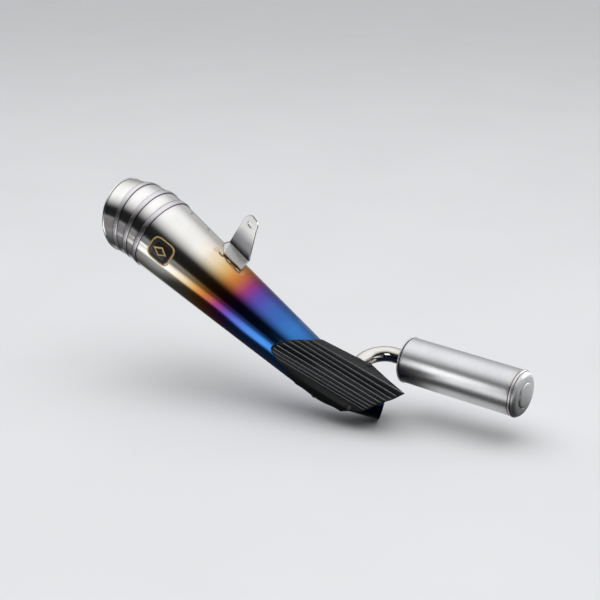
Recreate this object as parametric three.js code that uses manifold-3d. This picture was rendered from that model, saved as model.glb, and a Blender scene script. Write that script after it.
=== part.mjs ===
// Motorcycle silencer with a megaphone body, a mitred tail, a hanger bracket, a ribbed side
// cover and a small closed side chamber joined by a bent link pipe.
// Millimetres, +Z up. +X runs forward to the inlet end and +Y is the far side of the body.
// The origin is the centre of the inlet opening. Shapes are first worked out in the body's own
// frame, whose origin is the centre of the joint between the cone and the tail.
import * as THREE from "three";
import Module from "manifold-3d";

const wasm = await Module();
wasm.setup();

// ---- driving dimensions: millimetres and degrees ----
const GAP = 0.3;

const BODY_RISE = 29.3;
const CONE_LENGTH = 302;
const CONE_BIG_R = 50;
const CONE_SMALL_R = 28.6;
const SKIN = 1.2;

// tail pieces from the cone joint to the exit: length, rise of the axis, radius at the far end
const TAIL = [
  { length: 19.5, rise: 27.0, endR: 50.2 },
  { length: 20.0, rise: 17.6, endR: 49.6 },
  { length: 23.5, rise: 7.0, endR: 47.9 },
];
const EXIT_PLANE_RISE = 1.5;
const BEAD_WIDTH = 7.0;
const BEAD_HEIGHT = 0.8;
const LIP_WIDTH = 3.0;
const LIP_HEIGHT = 1.3;

const INLET_BIG_R = 28.4;
const INLET_R = 25.0;
const INLET_YAW = 28.5;
const INLET_DROP = 14.5;
const INLET_CORNER = 15.0;
const INLET_END = 60.6;
const INLET_WALL = 1.5;
const INLET_STEPS = 4;

const CORE_R = 23.0;
const CORE_WALL = 1.0;
const CORE_FROM = 22;
const CORE_TO = 286;
const CORE_HOLE_R = 2.6;
const CORE_HOLE_ROWS = 5;
const CORE_HOLES_AROUND = 6;
const BAFFLE_THICK = 1.5;
const OUTLET_R = 23.4;
const OUTLET_RECESS = 15;

const CHAMBER_R = 28.6;
const CHAMBER_LENGTH = 150;
const CHAMBER_WALL = 1.2;
const CHAMBER_YAW = -1.5;
const CHAMBER_DROP = 3.7;
const CHAMBER_START = [344.7, 61.0, -123.9];
const DOME_RISE = 7.4;
const DOME_DISC_R = 16.0;
const CHAMBER_BEAD = 1.6;

const LINK_R = 9.8;
const LINK_WALL = 1.3;
const LINK_CORNER = 53.0;
const LINK_FILLET = 31.0;
const LINK_TURN = [-0.05, -0.93, -0.30];
const LINK_REACH = 70.0;

const TAB_THICK = 3.0;
const TAB_Y = 12.0;
const SHEET = 2.4;
const TAB_TOP_R = 10.6;
const SLOT_LENGTH = 9.6;
const SLOT_WIDTH = 6.6;
const SLOT_S = 104.9;
const SLOT_H = 93.0;

const SEAM = { from: 9, to: 226, angle: 104, width: 1.2, height: 0.3 };

const COVER_THICK = 1.6;
const COVER_STANDOFF = 4.0;
const RIB_RISE = 1.3;
const RIBS = 9;

// ---- small vector helpers ----
const rad = (deg) => (deg * Math.PI) / 180;
const V = (x, y, z) => new THREE.Vector3(x, y, z);
const mix = (a, b, t) => a.clone().lerp(b, t);
const out = (p, dir, d) => p.clone().addScaledVector(dir, d);
const Y_AXIS = V(0, 1, 0);

const tau = rad(BODY_RISE);
const FORWARD = V(Math.cos(tau), 0, -Math.sin(tau));
const UPWARD = V(Math.sin(tau), 0, Math.cos(tau));
// a place given by its distance along the cone's axis, its height above it and its side
const onBody = (s, h, y) => FORWARD.clone().multiplyScalar(s).addScaledVector(UPWARD, h).setY(y);
const coneR = (s) => CONE_BIG_R + ((CONE_SMALL_R - CONE_BIG_R) * s) / CONE_LENGTH;
// a place on the cone's skin: angle 0 faces the near side, 90 is the top
const onSkin = (s, angle, off) => {
  const r = coneR(s) + off;
  return onBody(s, r * Math.sin(rad(angle)), -r * Math.cos(rad(angle)));
};
const dirUp = (rise) => V(-Math.cos(rad(rise)), 0, Math.sin(rad(rise)));
const perpUp = (rise) => V(Math.sin(rad(rise)), 0, Math.cos(rad(rise)));

const inletDir = V(
  Math.cos(rad(INLET_DROP)) * Math.cos(rad(INLET_YAW)),
  Math.cos(rad(INLET_DROP)) * Math.sin(rad(INLET_YAW)),
  -Math.sin(rad(INLET_DROP)),
);
const inletCorner = onBody(CONE_LENGTH + INLET_CORNER, 0, 0);
const INLET_CENTRE = out(inletCorner, inletDir, INLET_END);

const chamberDir = V(
  Math.cos(rad(CHAMBER_DROP)) * Math.cos(rad(CHAMBER_YAW)),
  Math.cos(rad(CHAMBER_DROP)) * Math.sin(rad(CHAMBER_YAW)),
  -Math.sin(rad(CHAMBER_DROP)),
);
const chamberStart = V(...CHAMBER_START);
const chamberEnd = out(chamberStart, chamberDir, CHAMBER_LENGTH);

// ---- surface builders ----
function finish(points, faces) {
  let volume = 0;
  for (const [a, b, c] of faces) {
    volume += points[a].dot(points[b].clone().cross(points[c]));
  }
  const index = [];
  for (const [a, b, c] of faces) {
    if (volume > 0) index.push(a, b, c);
    else index.push(a, c, b);
  }
  const g = new THREE.BufferGeometry();
  const flat = points.flatMap((p) => [p.x, p.y, p.z]);
  g.setAttribute("position", new THREE.Float32BufferAttribute(flat, 3));
  g.setIndex(index);
  return g;
}

// joins rings of equal count; `loop` closes last to first, otherwise both ends are capped
function skinRings(rings, loop) {
  const n = rings[0].length;
  const points = rings.flat();
  const faces = [];
  const spans = loop ? rings.length : rings.length - 1;
  for (let i = 0; i < spans; i++) {
    const a = i * n;
    const b = ((i + 1) % rings.length) * n;
    for (let j = 0; j < n; j++) {
      const k = (j + 1) % n;
      faces.push([a + j, a + k, b + k], [a + j, b + k, b + j]);
    }
  }
  if (!loop) {
    for (const [start, flip] of [[0, true], [(rings.length - 1) * n, false]]) {
      const mid = points.length;
      const c = V(0, 0, 0);
      for (let j = 0; j < n; j++) c.addScaledVector(points[start + j], 1 / n);
      points.push(c);
      for (let j = 0; j < n; j++) {
        const k = (j + 1) % n;
        faces.push(flip ? [mid, start + k, start + j] : [mid, start + j, start + k]);
      }
    }
  }
  return finish(points, faces);
}

function circle(centre, u, v, ru, rv, n) {
  const ring = [];
  for (let j = 0; j < n; j++) {
    const t = (2 * Math.PI * j) / n;
    ring.push(out(out(centre, u, ru * Math.cos(t)), v, rv * Math.sin(t)));
  }
  return ring;
}

function sideAxes(dir) {
  const u = Math.abs(dir.y) > 0.9 ? V(1, 0, 0) : Y_AXIS.clone();
  u.addScaledVector(dir, -u.dot(dir)).normalize();
  return [u, dir.clone().cross(u)];
}

// profile of [distance along the axis, radius]; closed on itself, or running axis to axis
function revolve(profile, at, dir, n, loop = true) {
  const [u, v] = sideAxes(dir);
  const rings = profile.map(([x, r]) => circle(out(at, dir, x), u, v, r, r, n));
  return skinRings(rings, loop);
}

// a path with straight runs and round corners: returns places and directions along it
function roundedPath(corners, fillet, steps) {
  const path = [];
  const last = corners.length - 1;
  let dir = corners[1].clone().sub(corners[0]).normalize();
  path.push({ p: corners[0].clone(), dir: dir.clone() });
  for (let i = 1; i < last; i++) {
    const next = corners[i + 1].clone().sub(corners[i]).normalize();
    const turn = dir.angleTo(next);
    const run = fillet * Math.tan(turn / 2);
    let p = out(corners[i], dir, -run);
    const axis = dir.clone().cross(next).normalize();
    path.push({ p: p.clone(), dir: dir.clone() });
    for (let k = 1; k <= steps; k++) {
      const chord = 2 * fillet * Math.sin(turn / steps / 2);
      p = out(p, dir.clone().applyAxisAngle(axis, turn / steps / 2), chord);
      dir.applyAxisAngle(axis, turn / steps);
      path.push({ p: p.clone(), dir: dir.clone() });
    }
    dir = next;
  }
  path.push({ p: corners[last].clone(), dir: dir.clone() });
  return path;
}

function tubeAlong(path, outer, inner, n) {
  const [u0] = sideAxes(path[0].dir);
  let u = u0;
  const frames = path.map(({ p, dir }) => {
    u = u.clone().addScaledVector(dir, -u.dot(dir)).normalize();
    return { p, u, v: dir.clone().cross(u) };
  });
  const size = (r, i) => (typeof r === "function" ? r(i / (path.length - 1)) : r);
  const ring = (f, r) => circle(f.p, f.u, f.v, r, r, n);
  const rings = frames.map((f, i) => ring(f, size(outer, i)));
  if (!inner) return skinRings(rings, false);
  const back = frames.map((f, i) => ring(f, size(inner, i))).reverse();
  return skinRings([...rings, ...back], true);
}

// ---- boolean helpers ----
function solid(g) {
  const p = g.getAttribute("position").array;
  const triVerts = new Uint32Array(g.index.array);
  return new wasm.Manifold(new wasm.Mesh({ numProp: 3, vertProperties: new Float32Array(p), triVerts }));
}

function geometry(m) {
  const mesh = m.getMesh();
  const g = new THREE.BufferGeometry();
  g.setAttribute("position", new THREE.Float32BufferAttribute(mesh.vertProperties, 3));
  g.setIndex([...mesh.triVerts]);
  return g;
}

const cut = (g, ...tools) => geometry(tools.reduce((m, t) => m.subtract(solid(t)), solid(g)));
const rod = (a, b, r, n) => tubeAlong([a, b].map((p) => ({ p, dir: b.clone().sub(a).normalize() })), r, 0, n);

// ---- assembly ----
const LOOKS = {
  titanium: { color: 0xb9b4aa, metalness: 1.0, roughness: 0.22 },
  weld: { color: 0xd8d6d2, metalness: 1.0, roughness: 0.3 },
  steel: { color: 0xc4c3bf, metalness: 1.0, roughness: 0.28 },
  polished: { color: 0xdedcd8, metalness: 1.0, roughness: 0.08 },
  carbon: { color: 0x17191b, metalness: 0.0, roughness: 0.3 },
  wool: { color: 0xd9cfa8, metalness: 0.0, roughness: 1.0 },
  badge: { color: 0x141312, metalness: 0.6, roughness: 0.35 },
  gold: { color: 0xb08d4a, metalness: 1.0, roughness: 0.3 },
};
const root = new THREE.Group();
root.name = "exhaust_muffler";

function add(name, g, look) {
  g.translate(-INLET_CENTRE.x, -INLET_CENTRE.y, -INLET_CENTRE.z);
  g.computeVertexNormals();
  const mesh = new THREE.Mesh(g, new THREE.MeshStandardMaterial(LOOKS[look]));
  mesh.name = name;
  root.add(mesh);
}

// ---- tail and cone: mitred rings share the vertical plane of the body ----
const N = 32;
const joints = [];
let centre = V(0, 0, 0);
let before = BODY_RISE;
let ringR = CONE_BIG_R;
for (const piece of TAIL) {
  const plane = (before + piece.rise) / 2;
  joints.push({ centre, plane, half: Math.abs(before - piece.rise) / 2, r: ringR });
  centre = out(centre, dirUp(piece.rise), piece.length);
  before = piece.rise;
  ringR = piece.endR;
}
joints.push({ centre, plane: EXIT_PLANE_RISE, half: before - EXIT_PLANE_RISE, r: ringR });

function mitreRing(joint, r, shift) {
  const at = out(joint.centre, dirUp(joint.plane), shift);
  return circle(at, Y_AXIS, perpUp(joint.plane), r, r / Math.cos(rad(joint.half)), N);
}

const coneEnd = onBody(CONE_LENGTH, 0, 0);
const coneEndRing = (r) => circle(coneEnd, Y_AXIS, UPWARD, r, r, N);
add("cone_shell", skinRings([
  mitreRing(joints[0], CONE_BIG_R, -GAP / 2),
  coneEndRing(CONE_SMALL_R),
  coneEndRing(CONE_SMALL_R - SKIN),
  mitreRing(joints[0], CONE_BIG_R - SKIN, -GAP / 2),
], true), "titanium");

const tailNames = ["tail_inner_segment", "tail_middle_segment", "tail_exit_segment"];
tailNames.forEach((name, i) => {
  const [a, b] = [joints[i], joints[i + 1]];
  const far = i === 2 ? 0 : -GAP / 2;
  add(name, skinRings([
    mitreRing(a, a.r, GAP / 2),
    mitreRing(b, b.r, far),
    mitreRing(b, b.r - SKIN, far),
    mitreRing(a, a.r - SKIN, GAP / 2),
  ], true), "titanium");
});

// raised weld bands over the three mitre joints
const beadNames = ["cone_joint_weld", "middle_joint_weld", "exit_joint_weld"];
beadNames.forEach((name, i) => {
  const j = joints[i];
  const foot = j.r + GAP + 0.25;
  const hump = [[-0.5, 0], [-0.2, 1], [0.2, 1], [0.5, 0]];
  const rings = hump.map(([x, h]) => mitreRing(j, foot + 0.2 + h * (BEAD_HEIGHT - 0.45), x * BEAD_WIDTH));
  const floor = [0.5, -0.5].map((x) => mitreRing(j, foot, x * BEAD_WIDTH));
  add(name, skinRings([...rings, ...floor], true), "weld");
});

// rolled lip around the exit
const exit = joints[3];
add("exit_lip", skinRings([
  mitreRing(exit, exit.r + GAP + 0.35, -LIP_WIDTH),
  mitreRing(exit, exit.r + LIP_HEIGHT, -LIP_WIDTH * 0.7),
  mitreRing(exit, exit.r + LIP_HEIGHT, -LIP_WIDTH * 0.25),
  mitreRing(exit, exit.r + LIP_HEIGHT * 0.6, 0.2),
  mitreRing(exit, exit.r + GAP + 0.1, 0.2),
], true), "titanium");

// ---- inside of the body ----
const coreA = onBody(CORE_FROM, 0, 0);
const coreLength = CORE_TO - CORE_FROM;
let core = solid(revolve(
  [[0, CORE_R], [coreLength, CORE_R], [coreLength, CORE_R - CORE_WALL], [0, CORE_R - CORE_WALL]],
  coreA, FORWARD, 18,
));
for (let row = 0; row < CORE_HOLE_ROWS; row++) {
  const s = CORE_FROM + (coreLength * (row + 1)) / (CORE_HOLE_ROWS + 1);
  for (let k = 0; k < CORE_HOLES_AROUND / 2; k++) {
    const t = (Math.PI * (2 * k + (row % 2))) / CORE_HOLES_AROUND;
    const arm = UPWARD.clone().multiplyScalar(Math.sin(t)).addScaledVector(Y_AXIS, Math.cos(t));
    const at = onBody(s, 0, 0);
    core = core.subtract(solid(rod(out(at, arm, -CORE_R - 2), out(at, arm, CORE_R + 2), CORE_HOLE_R, 6)));
  }
}
add("perforated_core", geometry(core), "steel");

function baffle(s) {
  const a = coneR(s) - SKIN - GAP;
  const b = coneR(s + BAFFLE_THICK) - SKIN - GAP;
  const bore = CORE_R + GAP;
  return revolve([[0, bore], [0, a], [BAFFLE_THICK, b], [BAFFLE_THICK, bore]], onBody(s, 0, 0), FORWARD, N);
}
const REAR_BAFFLE = CORE_FROM + 8;
const FRONT_BAFFLE = CORE_TO - 8;
add("rear_baffle", baffle(REAR_BAFFLE), "steel");
add("front_baffle", baffle(FRONT_BAFFLE), "steel");

const woolFrom = REAR_BAFFLE + BAFFLE_THICK + GAP;
const woolTo = FRONT_BAFFLE - GAP;
const woolInner = CORE_R + GAP;
add("sound_packing", revolve([
  [0, woolInner],
  [0, coneR(woolFrom) - SKIN - GAP],
  [woolTo - woolFrom, coneR(woolTo) - SKIN - GAP],
  [woolTo - woolFrom, woolInner],
], onBody(woolFrom, 0, 0), FORWARD, N), "wool");

// outlet tube bends from the core's line to the exit's line, and passes through the exit plate
const exitDir = dirUp(TAIL[2].rise);
const outletEnd = out(exit.centre, exitDir, -OUTLET_RECESS + 9);
const outletStart = onBody(CORE_FROM - GAP, 0, 0);
const cornerBack = exit.centre.dot(UPWARD) / exitDir.dot(UPWARD);
const outletCorner = out(exit.centre, exitDir, -cornerBack);
const outletPath = roundedPath([outletStart, outletCorner, outletEnd], 80, 3);
add("outlet_tube", tubeAlong(outletPath, OUTLET_R, OUTLET_R - 1.2, 20), "steel");

const plateR = exit.r - SKIN - GAP - 0.6;
const plateBore = OUTLET_R + GAP;
add("exit_plate", revolve([
  [0, plateBore],
  [-5, plateR - 4],
  [0, plateR],
  [1.4, plateR],
  [-3.6, plateR - 4.4],
  [1.4, plateBore],
], out(exit.centre, exitDir, -OUTLET_RECESS), exitDir, N), "steel");

// ---- inlet pipe: a bend and a straight socket ----
const inletPath = roundedPath(
  [onBody(CONE_LENGTH + GAP, 0, 0), inletCorner, INLET_CENTRE],
  (INLET_CORNER - 0.6) / Math.tan(FORWARD.angleTo(inletDir) / 2),
  INLET_STEPS,
);
// the bend narrows from the cone's small end to the socket
const inletTaper = (more) => (t) => {
  const share = Math.min(1, Math.max(0, (t * (inletPath.length - 1) - 1) / INLET_STEPS));
  return more + INLET_BIG_R + (INLET_R - INLET_BIG_R) * share;
};

// ---- link pipe between the inlet pipe and the side chamber ----
const linkTurn = V(...LINK_TURN).normalize();
const linkCorner = out(chamberStart, chamberDir, -LINK_CORNER);
const linkTip = out(linkCorner, linkTurn, LINK_REACH);
const linkPath = roundedPath([out(chamberStart, chamberDir, 7), linkCorner, linkTip], LINK_FILLET, 6);
const linkBase = out(linkCorner, linkTurn, LINK_REACH - 45);
const inletSkin = tubeAlong(inletPath, inletTaper(GAP), 0, N);
const linkBore = rod(linkBase, linkTip, LINK_R - LINK_WALL, 16);
add("inlet_pipe", cut(tubeAlong(inletPath, inletTaper(0), inletTaper(-INLET_WALL), N), linkBore), "titanium");
add("link_pipe", cut(tubeAlong(linkPath, LINK_R, LINK_R - LINK_WALL, 16), inletSkin), "polished");

const collar = cut(
  rod(out(linkTip, linkTurn, -33), linkTip, LINK_R + 2.6, 16),
  inletSkin,
  rod(out(linkTip, linkTurn, -60), out(linkTip, linkTurn, 2), LINK_R + GAP, 16),
);
add("link_joint_collar", collar, "weld");

const seamR = CONE_SMALL_R + GAP;
add("inlet_joint_weld", revolve(
  [[-1.6, seamR + 0.1], [-0.9, seamR + 0.7], [0.6, seamR + 0.7], [1.4, seamR]],
  coneEnd, FORWARD, N,
), "weld");

// ---- side chamber ----
add("chamber_shell", revolve([
  [0, CHAMBER_R],
  [CHAMBER_LENGTH, CHAMBER_R],
  [CHAMBER_LENGTH, CHAMBER_R - CHAMBER_WALL],
  [0, CHAMBER_R - CHAMBER_WALL],
], chamberStart, chamberDir, N), "steel");

add("chamber_front_cap", revolve([
  [-GAP, CHAMBER_R + 0.9],
  [-1.8, CHAMBER_R + 0.9],
  [-4.4, CHAMBER_R - 5],
  [-4.6, LINK_R + GAP],
  [-3.2, LINK_R + GAP],
  [-3.0, CHAMBER_R - 5.4],
  [-GAP, CHAMBER_R - 2.2],
], chamberStart, chamberDir, N), "steel");
add("link_cap_weld", revolve(
  [
    [-8.2, LINK_R + GAP],
    [-7.4, LINK_R + 1.9],
    [-5.4, LINK_R + 2.6],
    [-4.9, LINK_R + 2.2],
    [-4.9, LINK_R + GAP],
  ],
  chamberStart, chamberDir, 24,
), "weld");

const beadX = CHAMBER_LENGTH + GAP + CHAMBER_BEAD;
add("chamber_seam_weld", revolve([
  [-CHAMBER_BEAD, CHAMBER_R - CHAMBER_WALL],
  [-CHAMBER_BEAD, CHAMBER_R],
  [-CHAMBER_BEAD / 2, CHAMBER_R + 0.7],
  [CHAMBER_BEAD / 2, CHAMBER_R + 0.7],
  [CHAMBER_BEAD, CHAMBER_R],
  [CHAMBER_BEAD, CHAMBER_R - CHAMBER_WALL],
], out(chamberStart, chamberDir, beadX), chamberDir, N), "weld");

const domeAt = out(chamberStart, chamberDir, beadX + CHAMBER_BEAD + GAP);
add("chamber_dome_cap", revolve([
  [0, CHAMBER_R - 0.5],
  [1.8, CHAMBER_R - 1.2],
  [3.6, CHAMBER_R - 3.2],
  [4.8, CHAMBER_R - 6.2],
  [DOME_RISE - 2.0, DOME_DISC_R + GAP],
  [DOME_RISE - 3.4, DOME_DISC_R + GAP],
  [3.5, CHAMBER_R - 6.8],
  [2.4, CHAMBER_R - 4.2],
  [0, CHAMBER_R - 2.0],
], domeAt, chamberDir, N), "steel");
add("dome_centre_disc", revolve([
  [DOME_RISE - 3.2, DOME_DISC_R],
  [DOME_RISE - 1.2, DOME_DISC_R],
  [DOME_RISE - 0.4, DOME_DISC_R - 2.6],
  [DOME_RISE, 6],
], domeAt, chamberDir, 24, false), "steel");

// ---- hanger bracket: an upright slotted tab, a sloping flange welded down along its near edge
// and a three-sided gusset that closes the rear end of the flange ----
const tabBase = [[89.5, 52.2], [126.0, 48.6]];
const slotEnds = [-1, 1].map((side) => ({
  s: SLOT_S + (side * (SLOT_LENGTH - SLOT_WIDTH)) / 2,
  h: SLOT_H - side * 0.6,
}));
const tabOutline = [...tabBase];
for (let k = 0; k <= 10; k++) {
  const t = rad(-8 + (k * (178 + 8)) / 10);
  const end = k === 5 ? { s: SLOT_S, h: SLOT_H } : slotEnds[k < 5 ? 1 : 0];
  tabOutline.push([end.s + (TAB_TOP_R - 0.8) * Math.cos(t), end.h + TAB_TOP_R * Math.sin(t)]);
}
function plate(outline, y0, y1) {
  return skinRings([y0, y1].map((y) => outline.map(([s, h]) => onBody(s, h, y))), false);
}
function slotTool() {
  const ring = [];
  for (const [end, from] of [[slotEnds[1], -90], [slotEnds[0], 90]]) {
    for (let k = 0; k <= 8; k++) {
      const t = rad(from + (180 * k) / 8);
      ring.push([end.s + (SLOT_WIDTH / 2) * Math.cos(t), end.h + (SLOT_WIDTH / 2) * Math.sin(t)]);
    }
  }
  return plate(ring, TAB_Y - 10, TAB_Y + 10);
}
const onSheet = (s, angle) => onSkin(s, angle, GAP + 0.1 + SHEET);
const atBend = ([s, h]) => onBody(s, h + 1.8, TAB_Y + TAB_THICK / 2);
const footRear = onSheet(98.5, 82);
const footFront = onSheet(129.5, 82.5);
const gussetCorner = onSheet(82, 106);
function slab(corners) {
  const low = corners.map((p) => out(p, UPWARD, -SHEET));
  return wasm.Manifold.hull([...corners, ...low].map((p) => [p.x, p.y, p.z]));
}
const clearOfCone = skinRings([70, 145].map((s) => {
  const r = coneR(s) + GAP + 0.1;
  return circle(onBody(s, 0, 0), Y_AXIS, UPWARD, r, r, N);
}), false);
// a channel under the gusset leaves room for the cone's lengthwise seam
const seamChannel = skinRings([70, 110].map((s) => {
  const half = ((SEAM.width / 2 + GAP) / coneR(s)) * (180 / Math.PI);
  const top = 2 * GAP + 0.15 + SEAM.height;
  return [[-half, -1], [half, -1], [half, top], [-half, top]].map(([a, off]) => onSkin(s, SEAM.angle + a, off));
}), false);
const bracket = solid(plate(tabOutline, TAB_Y - TAB_THICK / 2, TAB_Y + TAB_THICK / 2))
  .add(slab([atBend(tabBase[0]), atBend(tabBase[1]), footFront, footRear]))
  .add(slab([atBend(tabBase[0]), footRear, gussetCorner]))
  .subtract(solid(slotTool()))
  .subtract(solid(clearOfCone))
  .subtract(solid(seamChannel));
add("hanger_bracket", geometry(bracket), "steel");

// stitch welds along the flange's near edge
const stitches = [[92, 100.5], [106, 115.5], [122, 131]];
stitches.forEach(([s0, s1], i) => {
  const ring = (s, w) => {
    const foot = GAP + 0.15;
    const r = coneR(s) + foot;
    const a0 = (Math.asin(6.8 / r) * 180) / Math.PI;
    const da = ((w * 2.8) / r) * (180 / Math.PI);
    return [
      onSkin(s, 90 - a0 - da, foot),
      onSkin(s, 90 - a0, foot),
      onSkin(s, 90 - a0, foot + w * 1.5),
      onSkin(s, 90 - a0 - da * 0.5, foot + w * 1.2),
    ];
  };
  add(`bracket_stitch_weld_${i + 1}`, skinRings([
    ring(s0, 0.35), ring(s0 + 1.5, 1), ring(s1 - 1.5, 1), ring(s1, 0.35),
  ], false), "weld");
});

// ---- ribbed side cover: straight runs from the skin of the cone to a raked front edge ----
// each row: distance along the cone and angle at the rear, then the front end in body axes
const COVER_ROWS = [
  { s: 278.8, angle: -31, front: [299.5, -28, -173.3] },
  { s: 260.9, angle: -16, front: [315.9, -30, -168.4] },
  { s: 243.7, angle: -5, front: [331.6, -27, -166.3] },
  { s: 231.0, angle: 4, front: [340.0, -27, -161.1] },
  { s: 230.4, angle: 17, front: [349.1, -26, -155.1] },
  { s: 238.9, angle: 36, front: [360.3, -24, -148.5] },
  { s: 248.4, angle: 54, front: [370.2, -20, -143.5] },
  { s: 260.0, angle: 75.5, front: [380.9, -14, -136.1] },
  { s: 264.5, angle: 92, front: [349.5, -1, -128.8] },
  { s: 266.5, angle: 104, front: [320.5, 10, -119.6] },
];
const RIB_FROM = 2;
const RIB_TO = 7;
const rowRear = COVER_ROWS.map((r) => onSkin(r.s, r.angle, COVER_STANDOFF));
const rowFront = COVER_ROWS.map((r) => V(...r.front));
const onRow = (list, u) => {
  const i = Math.min(Math.floor(u), list.length - 2);
  return mix(list[i], list[i + 1], u - i);
};
const coverNormal = (u, t) => {
  const e = 0.25;
  const lo = Math.max(0, u - e);
  const hi = Math.min(COVER_ROWS.length - 1, u + e);
  const across = mix(onRow(rowRear, hi), onRow(rowFront, hi), t);
  across.sub(mix(onRow(rowRear, lo), onRow(rowFront, lo), t));
  const along = onRow(rowFront, u).clone().sub(onRow(rowRear, u));
  return across.cross(along).normalize();
};
const coverRowsU = [];
for (let u = 0; u < RIB_FROM; u += 0.5) coverRowsU.push([u, 0]);
for (let k = 0; k < RIBS; k++) {
  const a = RIB_FROM + ((RIB_TO - RIB_FROM) * k) / RIBS;
  const w = (RIB_TO - RIB_FROM) / RIBS;
  coverRowsU.push([a, 0], [a + w * 0.3, 0], [a + w * 0.45, RIB_RISE], [a + w * 0.85, RIB_RISE]);
}
for (let u = RIB_TO; u <= COVER_ROWS.length - 1; u += 0.5) coverRowsU.push([u, 0]);

const coverStations = [0, 0.04, 0.5, 0.96, 1];
const outward = V(0, -1, 0.5);
const coverPoint = (u, lift, t, inside) => {
  const base = mix(onRow(rowRear, u), onRow(rowFront, u), t);
  const n = coverNormal(u, t);
  if (n.dot(outward) < 0) n.negate();
  const flat = t === 0 || t === 1 ? 0 : lift;
  return out(base, n, inside ? -COVER_THICK : flat);
};
const coverRings = coverStations.map((t) => [
  ...coverRowsU.map(([u, lift]) => coverPoint(u, lift, t, false)),
  ...coverRowsU.map(([u]) => coverPoint(u, 0, t, true)).reverse(),
]);
function coverSolid(rings) {
  const n = rings[0].length;
  const half = n / 2;
  const points = rings.flat();
  const faces = [];
  for (let i = 0; i < rings.length - 1; i++) {
    for (let j = 0; j < n; j++) {
      const k = (j + 1) % n;
      faces.push([i * n + j, i * n + k, i * n + n + k], [i * n + j, i * n + n + k, i * n + n + j]);
    }
  }
  const end = (rings.length - 1) * n;
  for (let j = 0; j < half - 1; j++) {
    const m = n - 1 - j;
    faces.push([j, m, m - 1], [j, m - 1, j + 1]);
    faces.push([end + j, end + m - 1, end + m], [end + j, end + j + 1, end + m - 1]);
  }
  return finish(points, faces);
}
const coverBody = coverSolid(coverRings);

// the cover is held by two button screws, each through a spacer standing on the inlet pipe
const COVER_SCREWS = [
  { name: "upper", u: 8.75, t: 0.885 },
  { name: "lower", u: 1.35, t: 0.925 },
];
const SCREW_R = 2.0;
const SCREW_HEAD_R = 3.3;
const SPACER_R = 3.6;
const SPACER_REACH = 30;
const fixings = COVER_SCREWS.map(({ name, u, t }) => ({
  name,
  top: coverPoint(u, 0, t, false),
  dir: coverPoint(u, 0, t, false).sub(coverPoint(u, 0, t, true)).normalize(),
}));
const screwHoles = fixings.map(({ top, dir }) => rod(out(top, dir, -6), out(top, dir, 4), SCREW_R + GAP, 12));
add("side_cover", cut(coverBody, ...screwHoles), "carbon");
for (const { name, top, dir } of fixings) {
  const under = out(top, dir, -COVER_THICK - 3 * GAP);
  const spacer = rod(out(under, dir, -SPACER_REACH), under, SPACER_R, 12);
  const bore = rod(out(under, dir, -SPACER_REACH - 1), out(under, dir, 1), SCREW_R + GAP, 12);
  add(`${name}_cover_spacer`, cut(spacer, inletSkin, bore), "steel");
  add(`${name}_cover_screw`, revolve([
    [-9, SCREW_R],
    [0.45, SCREW_R],
    [0.45, SCREW_HEAD_R],
    [1.3, SCREW_HEAD_R * 0.86],
    [2.0, SCREW_HEAD_R * 0.5],
  ], top, dir, 12, false), "steel");
}

// ---- generic badge on the near side of the cone, bent to its skin ----
const BADGE = { s: 36, angle: 13, length: 36, height: 30 };
const badgeOutline = [];
for (let j = 0; j < 20; j++) {
  const t = (2 * Math.PI * j) / 20;
  const round = 1 / (Math.abs(Math.cos(t)) ** 4 + Math.abs(Math.sin(t)) ** 4) ** 0.25;
  badgeOutline.push([round * Math.cos(t), round * Math.sin(t)]);
}
const badgeRing = (outline, k, off) => outline.map(([x, y]) => {
  const s = BADGE.s + (x * k * BADGE.length) / 2;
  const angle = BADGE.angle + ((y * k * BADGE.height) / 2 / coneR(s)) * (180 / Math.PI);
  return onSkin(s, angle, off);
});
const badgeLow = GAP + 0.15;
add("badge_plate", skinRings([
  badgeRing(badgeOutline, 0.35, badgeLow),
  badgeRing(badgeOutline, 0.86, badgeLow),
  badgeRing(badgeOutline, 0.86, badgeLow + 0.6),
  badgeRing(badgeOutline, 0.35, badgeLow + 0.6),
], false), "badge");
add("badge_frame", skinRings([
  badgeRing(badgeOutline, 0.9, badgeLow),
  badgeRing(badgeOutline, 1.0, badgeLow),
  badgeRing(badgeOutline, 1.0, badgeLow + 0.9),
  badgeRing(badgeOutline, 0.9, badgeLow + 0.9),
], true), "gold");
const lozenge = [[0.62, 0], [0, 0.42], [-0.62, 0], [0, -0.42]];
add("badge_lozenge", skinRings([
  badgeRing(lozenge, 0.6, badgeLow + 1.0),
  badgeRing(lozenge, 1.0, badgeLow + 1.0),
  badgeRing(lozenge, 0.9, badgeLow + 1.5),
  badgeRing(lozenge, 0.4, badgeLow + 1.5),
], false), "gold");

// ---- lengthwise seam of the rolled cone ----
add("cone_seam_weld", skinRings([SEAM.from, SEAM.to].map((s) => {
  const half = ((SEAM.width / 2 / coneR(s)) * 180) / Math.PI;
  const low = GAP + 0.15;
  return [
    onSkin(s, SEAM.angle - half, low),
    onSkin(s, SEAM.angle + half, low),
    onSkin(s, SEAM.angle + half * 0.5, low + SEAM.height),
    onSkin(s, SEAM.angle - half * 0.5, low + SEAM.height),
  ];
}), false), "weld");

export default root;
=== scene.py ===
"""Looks for the motorcycle silencer: smooth detailed pieces and procedural materials on the CAD frame.

Shapes are worked out in millimetres in the body's own frame (origin at the centre of the joint between
the cone and the tail) and placed in the row frame, in metres, by place().
"""

from math import asin, ceil, cos, degrees, hypot, pi, radians as rad, sin, tan

import bmesh
import bpy
from mathutils import Matrix, Vector
from mathutils.bvhtree import BVHTree
from mathutils.geometry import tessellate_polygon


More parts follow.
